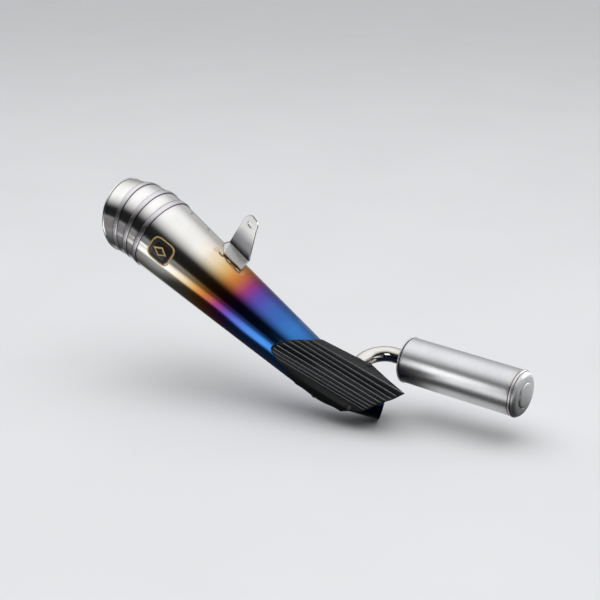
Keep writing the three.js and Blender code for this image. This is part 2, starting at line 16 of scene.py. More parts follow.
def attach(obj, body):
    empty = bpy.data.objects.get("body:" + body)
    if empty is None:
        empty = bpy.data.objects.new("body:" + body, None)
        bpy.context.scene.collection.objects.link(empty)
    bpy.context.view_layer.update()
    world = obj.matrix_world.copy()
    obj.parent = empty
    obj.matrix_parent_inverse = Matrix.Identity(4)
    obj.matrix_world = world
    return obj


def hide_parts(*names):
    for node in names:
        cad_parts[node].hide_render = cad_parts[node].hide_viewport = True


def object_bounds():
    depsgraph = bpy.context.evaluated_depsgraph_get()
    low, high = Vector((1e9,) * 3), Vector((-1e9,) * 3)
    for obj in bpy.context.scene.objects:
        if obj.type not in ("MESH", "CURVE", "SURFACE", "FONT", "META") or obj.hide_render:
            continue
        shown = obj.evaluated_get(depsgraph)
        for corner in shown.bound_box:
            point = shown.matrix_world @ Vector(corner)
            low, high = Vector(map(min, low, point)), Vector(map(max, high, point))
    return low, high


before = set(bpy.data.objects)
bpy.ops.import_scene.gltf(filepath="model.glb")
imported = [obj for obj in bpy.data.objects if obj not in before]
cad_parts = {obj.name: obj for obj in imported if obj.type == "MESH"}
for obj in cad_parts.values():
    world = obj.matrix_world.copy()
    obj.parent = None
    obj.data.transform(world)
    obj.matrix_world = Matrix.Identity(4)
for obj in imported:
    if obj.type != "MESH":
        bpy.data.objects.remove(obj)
CAD_LO, CAD_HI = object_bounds()
MM = 0.001

# ---- the CAD model's driving dimensions: millimetres and degrees ----
GAP = 0.3
# height of the badge's, the stitch welds' and the cone seam's underside over the skin
LOW = GAP + 0.15
BODY_RISE = 29.3
CONE_LENGTH = 302.0
CONE_BIG_R = 50.0
CONE_SMALL_R = 28.6
SKIN = 1.2
# length, rise and end radius of each tail segment
TAIL = [(19.5, 27.0, 50.2), (20.0, 17.6, 49.6), (23.5, 7.0, 47.9)]
EXIT_PLANE_RISE = 1.5
BEAD_WIDTH = 7.0
BEAD_HEIGHT = 0.8
LIP_WIDTH = 3.0
LIP_HEIGHT = 1.3
INLET_BIG_R = 28.4
INLET_R = 25.0
INLET_YAW = 28.5
INLET_DROP = 14.5
INLET_CORNER = 15.0
INLET_END = 60.6
INLET_WALL = 1.5
INLET_BEAD_HALF = 1.5
CORE_FROM = 22.0
OUTLET_R = 23.4
OUTLET_RECESS = 15.0
OUTLET_PAST_PLATE = 9.0
OUTLET_FILLET = 80.0
CHAMBER_R = 28.6
CHAMBER_LENGTH = 150.0
CHAMBER_WALL = 1.2
CHAMBER_YAW = -1.5
CHAMBER_DROP = 3.7
CHAMBER_START = Vector((344.7, 61.0, -123.9))
DOME_RISE = 7.4
DOME_DISC_R = 16.0
CHAMBER_BEAD = 1.6
LINK_R = 9.8
LINK_WALL = 1.3
LINK_CORNER = 53.0
LINK_FILLET = 31.0
LINK_INTO_CHAMBER = 7.0
LINK_INTO_INLET = 0.8
LINK_TURN = Vector((-0.05, -0.93, -0.30)).normalized()
# how far a line goes that passes beside the inlet pipe
PAST_INLET = 25.0
TAB_THICK = 3.0
TAB_Y = 12.0
SHEET = 2.4
TAB_TOP_R = 10.6
TAB_BEND_HEIGHT = 1.8
# ends of the tab's bend line: distance along the body and height
TAB_BASE = [(89.5, 52.2), (126.0, 48.6)]
# corners of the bracket's foot: distance along the body and angle
FLANGE_REAR, FLANGE_FRONT, GUSSET_FOOT = (98.5, 82), (129.5, 82.5), (82, 106)
SLOT_LENGTH = 9.6
SLOT_WIDTH = 6.6
SLOT_S = 104.9
SLOT_H = 93.0
SLOT_SLANT = 0.6
COVER_THICK = 1.6
TOW_WIDTH = 1.6
COVER_STANDOFF = 4.0
RIB_RISE = 1.3
RIBS = 9
# where each stitch weld runs from and to along the body, their angle and their distance from its middle
STITCHES = [(92.0, 100.5), (106.0, 115.5), (122.0, 131.0)]
STITCH_ANGLE = 80.5
STITCH_ACROSS = 6.9
SCORCH = (86.5, 80.0)
# the badge: its centre along the body, its angle, its length and its height
BADGE_S, BADGE_ANGLE, BADGE_LENGTH, BADGE_HEIGHT = 36.0, 13.0, 36.0, 30.0
SEAM_TACKS = (22.0, 54.0)
SEAM_FROM, SEAM_TO, SEAM_ANGLE, SEAM_WIDTH, SEAM_HEIGHT = 9.0, 226.0, 104.0, 1.2, 0.3

# ---- detail of the shown meshes: points round a ring, and millimetres along a straight tube ----
AROUND = 192
SEAM_AROUND = 384
BEAD_AROUND = 1008
STRAIGHT_STEP = 6.0

# ---- body frame ----
TILT = rad(BODY_RISE)
FORWARD = Vector((cos(TILT), 0, -sin(TILT)))
UPWARD = Vector((sin(TILT), 0, cos(TILT)))
ACROSS = Vector((0, 1, 0))


def heading(drop, yaw):
    level = cos(rad(drop))
    return Vector((level * cos(rad(yaw)), level * sin(rad(yaw)), -sin(rad(drop))))


def on_body(s, h, y):
    """A place from its distance along the body, its height and its distance across."""
    p = FORWARD * s + UPWARD * h
    p.y = y
    return p


def cone_r(s):
    return CONE_BIG_R + (CONE_SMALL_R - CONE_BIG_R) * s / CONE_LENGTH


def on_skin(s, angle, off):
    """A place over the cone's skin. The angle goes from the near side, 0, to the top, 90."""
    r = cone_r(s) + off
    return on_body(s, r * sin(rad(angle)), -r * cos(rad(angle)))


def dir_up(rise):
    return Vector((-cos(rad(rise)), 0, sin(rad(rise))))


def perp_up(rise):
    return Vector((sin(rad(rise)), 0, cos(rad(rise))))


INLET_DIR = heading(INLET_DROP, INLET_YAW)
INLET_BEND = on_body(CONE_LENGTH + INLET_CORNER, 0, 0)
INLET_CENTRE = INLET_BEND + INLET_DIR * INLET_END
CHAMBER_DIR = heading(CHAMBER_DROP, CHAMBER_YAW)
BEAD_X = CHAMBER_LENGTH + GAP + CHAMBER_BEAD


def place(p):
    return (p - INLET_CENTRE) * MM


def tail_joints():
    """Centre, rise, half angle and radius of the three tail joints and of the exit."""
    joints = []
    centre, before, r = Vector((0, 0, 0)), BODY_RISE, CONE_BIG_R
    for length, rise, end in TAIL:
        joints.append((centre, (before + rise) / 2, abs(before - rise) / 2, r))
        centre = centre + dir_up(rise) * length
        before, r = rise, end
    return joints + [(centre, EXIT_PLANE_RISE, before - EXIT_PLANE_RISE, r)]


JOINTS = tail_joints()


# ================================================================ materials
def srgb(code):
    """Linear colour of a six digit hexadecimal code."""
    def lin(v):
        v /= 255
        return v / 12.92 if v <= 0.04045 else ((v + 0.055) / 1.055) ** 2.4

    return tuple(lin(int(code[i:i + 2], 16)) for i in (0, 2, 4)) + (1.0,)


class Look:
    """One procedural material, with short calls for the nodes it needs."""

    def __init__(self, name, **sockets):
        self.mat = bpy.data.materials.new(name)
        self.mat.use_nodes = True
        self.tree = self.mat.node_tree
        self.bsdf = self.tree.nodes["Principled BSDF"]
        for key, value in sockets.items():
            self.bsdf.inputs[key.replace("_", " ")].default_value = value
        self._object = None

    def feed(self, socket, value):
        if isinstance(value, bpy.types.NodeSocket):
            self.tree.links.new(value, socket)
        else:
            if isinstance(value, str):
                value = srgb(value)
            elif isinstance(value, (int, float)) and socket.type in ("VECTOR", "RGBA"):
                value = (value,) * 3 if socket.type == "VECTOR" else (value, value, value, 1)
            socket.default_value = value

    def node(self, kind, values=(), **props):
        n = self.tree.nodes.new(kind)
        for key, value in props.items():
            setattr(n, key, value)
        for key, value in dict(values).items():
            self.feed(n.inputs[key], value)
        return n

    def math(self, op, a, b=None, c=None, clamp=False):
        n = self.node("ShaderNodeMath", operation=op, use_clamp=clamp)
        for i, v in enumerate((a, b, c)):
            if v is not None:
                self.feed(n.inputs[i], v)
        return n.outputs[0]

    def vec(self, op, a, b=None):
        n = self.node("ShaderNodeVectorMath", operation=op)
        self.feed(n.inputs[0], a)
        if b is not None:
            self.feed(n.inputs[3 if op == "SCALE" else 1], b)
        return n.outputs["Value" if op in ("DOT_PRODUCT", "LENGTH", "DISTANCE") else "Vector"]

    def add(self, a, b):
        return self.math("ADD", a, b)

    def sub(self, a, b):
        return self.math("SUBTRACT", a, b)

    def mul(self, first, *rest):
        for value in rest:
            first = self.math("MULTIPLY", first, value)
        return first

    def most(self, first, *rest):
        for value in rest:
            first = self.math("MAXIMUM", first, value)
        return first

    def apart(self, a, b):
        """The difference of two values, without its sign."""
        return self.math("ABSOLUTE", self.sub(a, b))

    def angle(self, sine, cosine):
        """An angle in degrees."""
        return self.mul(self.math("ARCTAN2", sine, cosine), 180 / pi)

    def split(self, vector):
        return self.node("ShaderNodeSeparateXYZ", {0: vector}).outputs

    def step(self, x, lo, hi, a=0.0, b=1.0):
        """Smooth change from a to b as x goes from lo to hi."""
        n = self.node("ShaderNodeMapRange", interpolation_type="SMOOTHSTEP")
        for i, v in enumerate((x, lo, hi, a, b)):
            self.feed(n.inputs[i], v)
        return n.outputs[0]

    def rise(self, x, lo, hi, end):
        return self.step(x, lo, hi, 0.0, end)

    def fall(self, x, lo, hi, start=1.0):
        return self.step(x, lo, hi, start, 0.0)

    def join(self, x, y, z=0.0):
        return self.node("ShaderNodeCombineXYZ", {0: x, 1: y, 2: z}).outputs[0]

    def noise(self, at, scale=1.0, detail=2.0, rough=0.5):
        values = {"Vector": at, "Scale": scale, "Detail": detail, "Roughness": rough}
        return self.node("ShaderNodeTexNoise", values).outputs["Fac"]

    def ramp(self, x, stops):
        n = self.node("ShaderNodeValToRGB")
        lo, hi = stops[0][0], stops[-1][0]
        self.feed(n.inputs[0], self.mul(self.sub(x, lo), 1 / (hi - lo)))
        e = n.color_ramp.elements
        while len(e) < len(stops):
            e.new(0.5)
        for i, (at, colour) in enumerate(stops):
            e[i].position = (at - lo) / (hi - lo)
            e[i].color = srgb(colour)
        return n.outputs[0]

    def mix(self, fac, a, b, blend="MIX"):
        n = self.node("ShaderNodeMix", data_type="RGBA", blend_type=blend)
        self.feed(n.inputs[0], fac)
        self.feed(n.inputs[6], a)
        self.feed(n.inputs[7], b)
        return n.outputs[2]

    def tint(self, amount, colour):
        """Lays a colour over the tone so far."""
        self.tone = self.mix(amount, self.tone, colour)

    def bump(self, height, depth_mm, strength=1.0):
        links = self.bsdf.inputs["Normal"].links
        under = links[0].from_socket if links else None
        n = self.node("ShaderNodeBump", {"Height": height, "Distance": depth_mm * MM, "Strength": strength})
        if under:
            self.feed(n.inputs["Normal"], under)
        self.feed(self.bsdf.inputs["Normal"], n.outputs[0])

    def complete(self, grain, low, high, depth_mm):
        """Sets the tone, with roughness and fine relief from one grain."""
        self.set(Base_Color=self.tone, Roughness=self.step(grain, 0.2, 0.8, low, high))
        self.bump(grain, depth_mm)
        return self

    def set(self, **sockets):
        for key, value in sockets.items():
            self.feed(self.bsdf.inputs[key.replace("_", " ")], value)

    @property
    def at(self):
        """Place in the body frame, in millimetres."""
        if self._object is None:
            o = self.node("ShaderNodeTexCoord").outputs["Object"]
            self._object = self.vec("ADD", self.vec("SCALE", o, 1 / MM), tuple(INLET_CENTRE))
        return self._object

    def along(self, axis, start=Vector((0, 0, 0))):
        """Distance along an axis from a start point, in millimetres."""
        return self.sub(self.vec("DOT_PRODUCT", self.at, tuple(axis)), start.dot(axis))

    def reach(self, p):
        """Distance from a place in the body frame, in millimetres."""
        return self.vec("DISTANCE", self.at, tuple(p))


def brushed(look, run, turn, grain=2.2, lay=0.05, depth=0.02, base_rough=0.2, spread=0.1):
    """Fine lines that run around an axis: run is the distance along it, turn the angle in degrees."""
    fine = look.noise(look.join(look.mul(run, grain), look.mul(turn, lay)), 1.0, 3.0, 0.65)
    wide = look.noise(look.join(look.mul(run, grain * 0.18), look.mul(turn, lay * 0.4), 7.0), 1.0, 2.0)
    blotch = look.noise(look.at, 0.02, 3.0)
    rough = look.add(look.mul(look.sub(fine, 0.5), spread), look.mul(look.sub(blotch, 0.5), spread * 0.8))
    look.set(Roughness=look.math("ADD", rough, base_rough, clamp=True))
    look.bump(look.add(fine, look.mul(wide, 0.6)), depth)
    return fine, blotch


def mitre_distance(look):
    """Distance from the nearest of the three tail joints, in millimetres."""
    near = None
    for centre, plane, _half, _r in JOINTS[:3]:
        d = look.math("ABSOLUTE", look.along(dir_up(plane), centre))
        near = d if near is None else look.math("MINIMUM", near, d)
    return near


# heat tint of the titanium by distance along the body
HEAT = [
    (0, "eeedeb"), (66, "eeece8"), (86, "e9dfd0"), (97, "e1d0b6"),
    (107, "d9c196"), (117, "d0a66c"), (127, "c48848"), (137, "b66a3a"),
    (146, "a85650"), (155, "923a70"), (165, "703e90"), (175, "544aa0"),
    (187, "4658a8"), (205, "3c66b0"), (236, "3874ba"), (272, "3464a8"),
    (300, "244480"), (330, "182854"), (400, "142044"),
]


def titanium():
    """Polished titanium: silver at the tail, then straw, gold, magenta, violet and blue towards the inlet."""
    k = Look("titanium", Metallic=1.0)
    s = k.along(FORWARD)
    angle = k.angle(k.along(UPWARD), k.mul(k.along(ACROSS), -1.0))
    early = k.fall(k.apart(angle, -6.0), 0.0, 52.0, 22.0)
    drift = k.mul(k.sub(k.noise(k.at, 0.014, 2.0), 0.5), 16.0)
    lay = k.mul(k.sub(k.noise(k.join(k.mul(s, 0.5), k.mul(angle, 0.02)), 1.0, 2.0), 0.5), 3.0)
    heat = k.ramp(k.add(k.add(s, early), k.add(drift, lay)), HEAT)
    _, blotch = brushed(k, s, angle, 2.4, 0.05, 0.012, 0.15, 0.08)
    k.tone = k.mix(k.rise(blotch, 0.35, 0.7, 0.12), heat, "787674", "MULTIPLY")
    # heat lines beside the joints of the tail
    near = mitre_distance(k)
    patch = k.noise(k.at, 0.05, 3.0)
    haze = k.mul(k.fall(near, 4.5, 9.0, 0.35), k.step(patch, 0.3, 0.65, 0.3, 1.0))
    k.tint(haze, "beb2c4")
    straw = k.mul(k.fall(near, 5.0, 12.0, 0.25), k.step(patch, 0.5, 0.75))
    k.tint(straw, "e4d4b2")
    line = k.mul(k.fall(near, 3.7, 4.7, 0.8), k.step(patch, 0.2, 0.5, 0.7, 1.0))
    k.tint(line, "54465c")
    # brown heat marks around the stitch welds of the hanger bracket
    speck = k.noise(k.at, 0.8, 4.0, 0.7)
    for s0, s1 in STITCHES:
        for end in (s0, s1):
            spot = k.reach(on_skin(end, STITCH_ANGLE, 0))
            mark = k.mul(k.fall(spot, 1.0, 3.4, 0.4), k.step(speck, 0.3, 0.6, 0.3, 1.0))
            k.tint(mark, "805c42")
            k.tint(k.fall(spot, 3.0, 8.0, 0.22), "ceb096")
    scorch = k.fall(k.reach(on_skin(*SCORCH, 0)), 2.5, 6.0, 0.5)
    scorch = k.mul(scorch, k.step(k.noise(k.at, 0.5, 3.0, 0.8), 0.44, 0.56))
    k.tint(scorch, "a0766c")
    # fine wipe marks and dust
    dust = k.noise(k.at, 1.6, 5.0, 0.75)
    k.tint(k.rise(dust, 0.62, 0.8, 0.1), "96928c")
    k.set(Base_Color=k.tone)
    return k


def weld(name, near, edge, width, tint):
    """Rippled weld metal, bright on top, dark and coloured at its feet."""
    k = Look(name, Metallic=1.0)
    d = near(k)
    grain = k.noise(k.at, 0.9, 4.0, 0.6)
    k.tone = k.mix(k.rise(grain, 0.3, 0.8, 0.3), "e2e0e2", "b6b0b2")
    k.tint(k.step(d, width * 0.5, width * 0.85, 0.0, 0.45), tint)
    k.tint(k.step(d, width * 0.84, width * 0.99, 0.0, 0.85), edge)
    return k.complete(grain, 0.2, 0.32, 0.02)


def stitch_metal():
    k = Look("stitch_weld", Metallic=1.0)
    s = k.along(FORWARD)
    dark = k.most(*(k.fall(k.apart(s, end), 0.8, 2.6) for stitch in STITCHES for end in stitch))
    grain = k.noise(k.at, 1.1, 4.0, 0.6)
    k.tone = k.mix(k.rise(grain, 0.3, 0.8, 0.5), "cec2ac", "b09c82")
    k.tint(k.mul(dark, 0.7), "685444")
    return k.complete(grain, 0.25, 0.5, 0.06)


def side_weld():
    """Weld metal of the small joints round the inlet and the link pipe."""
    k = Look("weld_metal", Metallic=1.0)
    grain = k.noise(k.at, 0.7, 4.0, 0.6)
    k.tone = k.ramp(grain, [(0.25, "545470"), (0.45, "a49c9e"), (0.6, "cec8c0"),
                          (0.8, "967860")])
    return k.complete(grain, 0.2, 0.4, 0.05)


def axis_sides(axis):
    u = Vector((1, 0, 0)) if abs(axis.y) > 0.9 else ACROSS.copy()
    u = (u - axis * u.dot(axis)).normalized()
    return u, axis.cross(u)


CHAMBER_SIDES = axis_sides(CHAMBER_DIR)


def chamber_steel():
    """Brushed stainless steel of the side chamber, tinted a little beside its weld ring."""
    k = Look("chamber_steel", Metallic=1.0)
    run = k.along(CHAMBER_DIR, CHAMBER_START)
    a, b = (k.along(side, CHAMBER_START) for side in CHAMBER_SIDES)
    fine, blotch = brushed(k, run, k.angle(b, a), 2.8, 0.06, 0.02, 0.33, 0.1)
    k.tone = k.mix(k.step(fine, 0.25, 0.75), "cecfd1", "e6e7e9")
    k.tint(k.rise(blotch, 0.4, 0.7, 0.25), "c2c3c5")
    bead = k.apart(run, BEAD_X)
    k.tint(k.fall(bead, 3.0, 10.0, 0.3), "d4c8b0")
    k.tint(k.fall(bead, 2.0, 3.4, 0.7), "686a84")
    front = k.math("ABSOLUTE", run)
    k.tint(k.fall(front, 0.7, 1.8, 0.9), "2e2c30")
    k.set(Base_Color=k.tone)
    return k


def turned_steel():
    """Satin end caps with faint turning marks round the chamber's axis."""
    k = Look("turned_steel", Metallic=1.0)
    a, b = (k.along(side, CHAMBER_START) for side in CHAMBER_SIDES)
    r = k.math("SQRT", k.add(k.mul(a, a), k.mul(b, b)))
    fine, blotch = brushed(k, r, k.angle(b, a), 2.0, 0.05, 0.02, 0.4, 0.12)
    k.tone = k.mix(k.step(fine, 0.25, 0.75), "cecfd0", "e4e5e6")
    k.tint(k.rise(blotch, 0.4, 0.7, 0.3), "c4c5c6")
    k.tint(k.fall(k.apart(r, DOME_DISC_R + GAP / 2), 0.1, 0.8, 0.45), "606064")
    k.tint(k.rise(r, 24.0, 29.0, 0.25), "beb8c4")
    k.set(Base_Color=k.tone)
    return k


def polished_pipe():
    k = Look("polished_pipe", Metallic=1.0)
    grain = k.noise(k.at, 0.25, 5.0, 0.7)
    k.tone = k.mix(k.rise(grain, 0.3, 0.75, 0.4), "e2dfd9", "ccc6bc")
    k.tint(k.fall(k.reach(CHAMBER_START), 12.0, 26.0, 0.4), "d0bea0")
    k.set(Base_Color=k.tone, Roughness=k.step(grain, 0.2, 0.85, 0.05, 0.14))
    k.bump(k.noise(k.at, 1.8, 4.0, 0.7), 0.006)
    return k


def bracket_steel():
    """Satin sheet with vertical grain, painted shade along the bend line and on the lower tab, and heat marks
    along the welded edge.
    """
    k = Look("bracket_steel", Metallic=1.0)
    s, h, y = k.along(FORWARD), k.along(UPWARD), k.along(ACROSS)
    fine = k.noise(k.join(k.mul(s, 2.6), k.mul(k.add(h, y), 0.12)), 1.0, 3.0, 0.65)
    blotch = k.noise(k.at, 0.05, 3.0)
    k.tone = k.mix(k.step(fine, 0.25, 0.75), "dedddb", "f0efed")
    k.tint(k.rise(blotch, 0.4, 0.7, 0.3), "c8c7c7")
    k.tint(k.fall(k.reach(on_body(100, 74, TAB_Y)), 2.0, 12.0, 0.22), "a09eb0")
    # the flange is painted darker than the gusset beside the fold, and painted shade darkens the tab downwards
    fold = k.sub(s, k.sub(95.5, k.mul(y, 0.448)))
    on_flange = k.mul(k.step(fold, -0.2, 0.5), k.fall(y, 9.6, 10.4))
    k.tint(k.mul(on_flange, 0.7), "868584")
    k.tint(k.mul(k.fall(h, 66.0, 86.0), k.step(y, 9.6, 10.4)), "929294")
    (s0, h0), (s1, h1) = TAB_BASE
    bend = k.add(k.mul(k.sub(s, s0), (h1 - h0) / (s1 - s0)), h0 + TAB_BEND_HEIGHT)
    # painted shade along the bend line between the tab and the flange
    painted_bend_shade = k.mul(k.fall(k.apart(h, bend), 0.3, 1.0, 0.8), k.step(y, 8.6, 10.2))
    k.tint(painted_bend_shade, "302c2c")
    cut_edge = k.mul(k.step(y, 10.7, 11.1), k.fall(y, 12.9, 13.3), k.step(h, 56.0, 62.0))
    k.tint(k.mul(cut_edge, 0.8), "706e6c")
    foot = k.mul(k.fall(y, -6.4, -2.5, 0.6), k.step(blotch, 0.3, 0.6, 0.4, 1.0))
    k.tint(foot, "9e8670")
    k.set(Base_Color=k.tone, Roughness=k.add(k.mul(fine, 0.12), 0.17))
    k.bump(fine, 0.02)
    return k


def carbon():
    """Clear-coated carbon twill. The weave follows the sheet, measured along it in millimetres."""
    k = Look("carbon_twill", Metallic=0.0, Coat_Weight=0.2, Coat_Roughness=0.1, Specular_IOR_Level=0.1)
    weave = k.node("ShaderNodeAttribute", attribute_type="GEOMETRY", attribute_name="weave").outputs["Vector"]
    run, over, phase = k.split(weave)
    u, v = k.mul(run, 1 / TOW_WIDTH), k.mul(over, 1 / TOW_WIDTH)
    cell = k.math("FLOORED_MODULO", k.add(k.math("FLOOR", u), k.math("FLOOR", v)), 4.0)
    warp = k.math("LESS_THAN", cell, 1.5)
    round_u, round_v = (k.math("SINE", k.mul(k.math("FRACT", x), pi)) for x in (u, v))
    thread_u = k.noise(k.join(k.mul(u, 9.0), k.mul(v, 0.7)), 1.0, 2.0)
    thread_v = k.noise(k.join(k.mul(u, 0.7), k.mul(v, 9.0)), 1.0, 2.0)
    pick, thread = (
        k.node("ShaderNodeMix", {0: warp, 2: weft, 3: lengthwise}, data_type="FLOAT").outputs[0]
        for weft, lengthwise in ((round_v, round_u), (thread_v, thread_u)))
    k.tone = k.mix(warp, "0a0b0c", "1c1e20")
    k.tint(k.rise(thread, 0.35, 0.7, 0.5), "0b0c0d")
    k.tint(k.fall(pick, 0.0, 0.5, 0.7), "050506")
    # painted highlight along the upper shoulder of each rib, standing in for the overhead light it catches,
    # and painted shade in the dark grooves between them
    painted_rib_highlight = k.mul(
        k.step(phase, 0.74, 0.84), k.fall(phase, 0.86, 0.96), k.step(pick, 0.1, 0.9, 0.45, 1.0))
    painted_groove_shade = k.mul(k.step(phase, 0.02, 0.06), k.fall(phase, 0.2, 0.34))
    k.tint(k.mul(painted_groove_shade, 0.9), "030304")
    k.tint(k.mul(painted_rib_highlight, 0.85), "8a8d90")
    k.set(Base_Color=k.tone, Roughness=k.add(k.mul(warp, -0.08), k.add(k.mul(thread, 0.16), 0.44)))
    k.bump(k.add(pick, k.mul(thread, 0.3)), 0.05, 0.6)
    return k


def soot_steel():
    """Steel inside the silencer, browned by heat and dusted with soot."""
    k = Look("inner_steel", Metallic=0.85)
    big = k.noise(k.at, 0.045, 4.0, 0.6)
    small = k.noise(k.at, 0.9, 4.0, 0.7)
    k.tone = k.ramp(big, [(0.3, "70604e"), (0.5, "544a42"), (0.7, "3a3636")])
    k.tint(k.rise(small, 0.45, 0.7, 0.6), "221f1e")
    return k.complete(small, 0.38, 0.7, 0.06)


def glass_wool():
    k = Look("glass_wool", Metallic=0.0, Roughness=1.0)
    s, h, y = k.along(FORWARD), k.along(UPWARD), k.along(ACROSS)
    strand = k.noise(k.join(k.mul(s, 0.6), k.mul(h, 2.6), y), 1.0, 5.0, 0.75)
    k.tone = k.ramp(strand, [(0.3, "a89860"), (0.5, "d6c896"), (0.7, "ece4c4")])
    k.set(Base_Color=k.tone)
    k.bump(strand, 0.8)
    return k


def grained(name, grain, tone, first, second, gloss, **sockets):
    """A plain material that changes from one colour to another with a fine grain."""
    k = Look(name, **sockets)
    grain = k.noise(k.at, *grain)
    k.tone = k.mix(k.step(grain, *tone), first, second)
    return k.complete(grain, *gloss, 0.02)


def screw_steel():
    return grained(
        "screw_steel", (2.4, 4.0, 0.7), (0.35, 0.7), "3c3c3d", "62615f", (0.22, 0.42), Metallic=1.0)


def badge_enamel():
    return grained(
        "badge_enamel", (1.4, 5.0, 0.7), (0.4, 0.75), "12100e", "26221c", (0.28, 0.5),
        Metallic=0.0, Coat_Weight=0.6, Coat_Roughness=0.12)


def badge_gold():
    return grained(
        "badge_gold", (1.2, 5.0, 0.7), (0.35, 0.7), "debe84", "ba945c", (0.26, 0.42), Metallic=0.4)


def seam_metal():
    """The rolled cone's seam: planished silver with two dark tack marks, tinted like the skin beside it."""
    k = Look("seam_weld", Metallic=1.0)
    s = k.along(FORWARD)
    heat = k.ramp(s, HEAT)
    grain = k.noise(k.at, 0.8, 4.0, 0.7)
    k.tone = k.mix(k.rise(grain, 0.3, 0.8, 0.2), heat, "96908e")
    for tack in SEAM_TACKS:
        k.tint(k.fall(k.apart(s, tack), 0.9, 2.0, 0.85), "2e2626")
    return k.complete(grain, 0.24, 0.4, 0.03)


def chamber_bead_distance(k):
    return k.apart(k.along(CHAMBER_DIR, CHAMBER_START), BEAD_X)


tail_weld = weld("tail_weld", mitre_distance, "483c4e", 3.5, "bcb2c6")
chamber_weld = weld("chamber_weld", chamber_bead_distance, "3c3e58", 1.75, "a0a0b8")
# each look and the record's material slot it belongs to
LOOKS = {
    "titanium": (titanium(), "titanium"),
    "weld": (tail_weld, "weld"),
    "chamber_weld": (chamber_weld, "weld"),
    "stitch": (stitch_metal(), "weld"),
    "side_weld": (side_weld(), "weld"),
    "seam": (seam_metal(), "weld"),
    "chamber": (chamber_steel(), "chamber_steel"),
    "turned": (turned_steel(), "chamber_steel"),
    "pipe": (polished_pipe(), "polished_pipe"),
    "bracket": (bracket_steel(), "bracket_steel"),
    "carbon": (carbon(), "carbon"),
    "inner": (soot_steel(), "inner_steel"),
    "wool": (glass_wool(), "glass_wool"),
    "screw": (screw_steel(), "bracket_steel"),
    "enamel": (badge_enamel(), "badge_black"),
    "gold": (badge_gold(), "badge_gold"),
}


# ================================================================ mesh building
def add_object(name, data):
    obj = bpy.data.objects.new(name, data)
    bpy.context.scene.collection.objects.link(obj)
    return obj


def finish_mesh(me, sharp=36.0):
    """Smooth shading, with a crease wherever two faces meet at more than the sharp angle."""
    bm = bmesh.new()
    bm.from_mesh(me)
    bmesh.ops.remove_doubles(bm, verts=bm.verts, dist=1e-7)
    bmesh.ops.recalc_face_normals(bm, faces=bm.faces)
    for f in bm.faces:
        f.smooth = True
    for e in bm.edges:
        if len(e.link_faces) == 2 and e.calc_face_angle(0.0) > rad(sharp):
            e.smooth = False
    bm.to_mesh(me)
    bm.free()


def piece(node, me, look, sharp=36.0):
    """Turns a mesh in the row frame into the shown piece for one CAD node."""
    finish_mesh(me, sharp)
    obj = add_object(node + ".look", me)
    material, slot = LOOKS[look]
    me.materials.clear()
    me.materials.append(material.mat)
    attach(obj, "root")
    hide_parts(node)
    return obj


def to_mesh(name, points, faces):
    me = bpy.data.meshes.new(name)
    me.from_pydata([place(p) for p in points], [], faces)
    me.update()
    return me


def skin(rings, loop=True):
    """Joins rings of equal count. loop closes last to first, otherwise both ends are capped."""
    n = len(rings[0])
    points = [p for ring in rings for p in ring]
    faces = []
    for i in range(len(rings) if loop else len(rings) - 1):
        a, b = i * n, ((i + 1) % len(rings)) * n
        for j in range(n):
            k = (j + 1) % n
            faces.append((a + j, a + k, b + k, b + j))
    if not loop:
        for start in (0, (len(rings) - 1) * n):
            points.append(sum(points[start:start + n], Vector((0, 0, 0))) / n)
            hub = len(points) - 1
            for j in range(n):
                faces.append((start + j, start + (j + 1) % n, hub))
    return points, faces


def build(node, shape, look, sharp=36.0):
    """Makes the shown piece for a CAD node from (points, faces) in the body frame."""
    return piece(node, to_mesh(node, *shape), look, sharp)


def turns(n):
    return [2 * pi * j / n for j in range(n)]


def circle(centre, sides, r, n=AROUND):
    """A ring of n points. The radius r may be a function of the angle."""
    u, v = sides
    radius = r if callable(r) else lambda t: r
    return [centre + u * (radius(t) * cos(t)) + v * (radius(t) * sin(t)) for t in turns(n)]


def rounded(profile, radius, steps=4, closed=True):
    """Rounds the corners of a profile of (distance, radius) pairs."""
    pts = [Vector(p) for p in profile]
    out = []
    count = len(pts)
    for i, p in enumerate(pts):
        if not closed and i in (0, count - 1):
            out.append(p)
            continue
        a, b = pts[i - 1] - p, pts[(i + 1) % count] - p
        cut = min(radius, a.length * 0.45, b.length * 0.45)
        start, end = p + a.normalized() * cut, p + b.normalized() * cut
        for k in range(steps + 1):
            t = k / steps
            out.append(start * (1 - t) ** 2 + p * (2 * t * (1 - t)) + end * t ** 2)
    return [(q.x, q.y) for q in out]


def revolve(profile, at, axis, n=AROUND, loop=True):
    sides = axis_sides(axis)
    return skin([circle(at + axis * x, sides, r, n) for x, r in profile], loop)


def divided(profile, most):
    """Splits the long runs of a profile so that no span is longer than most."""
    out = []
    for i, (x, r) in enumerate(profile):
        nx, nr = profile[(i + 1) % len(profile)]
        steps = max(1, ceil(hypot(nx - x, nr - r) / most))
        out += [(x + (nx - x) * k / steps, r + (nr - r) * k / steps) for k in range(steps)]
    return out


def rounded_path(corners, fillet, steps):
    """Places and directions along straight runs joined by round bends."""
    d = (corners[1] - corners[0]).normalized()
    path = [(corners[0].copy(), d.copy())]

    def straight_to(end):
        start = path[-1][0]
        n = max(2, int((end - start).length / STRAIGHT_STEP))
        path.extend((start.lerp(end, k / n), d.copy()) for k in range(1, n + 1))

    for corner, beyond in zip(corners[1:], corners[2:]):
        after = (beyond - corner).normalized()
        turn = d.angle(after)
        p = corner - d * (fillet * tan(turn / 2))
        straight_to(p)
        axis = d.cross(after).normalized()
        chord = 2 * fillet * sin(turn / steps / 2)
        for _ in range(steps):
            half = d.copy()
            half.rotate(Matrix.Rotation(turn / steps / 2, 3, axis))
            p = p + half * chord
            d.rotate(Matrix.Rotation(turn / steps, 3, axis))
            path.append((p.copy(), d.copy()))
        d = after
    straight_to(corners[-1])
    return path


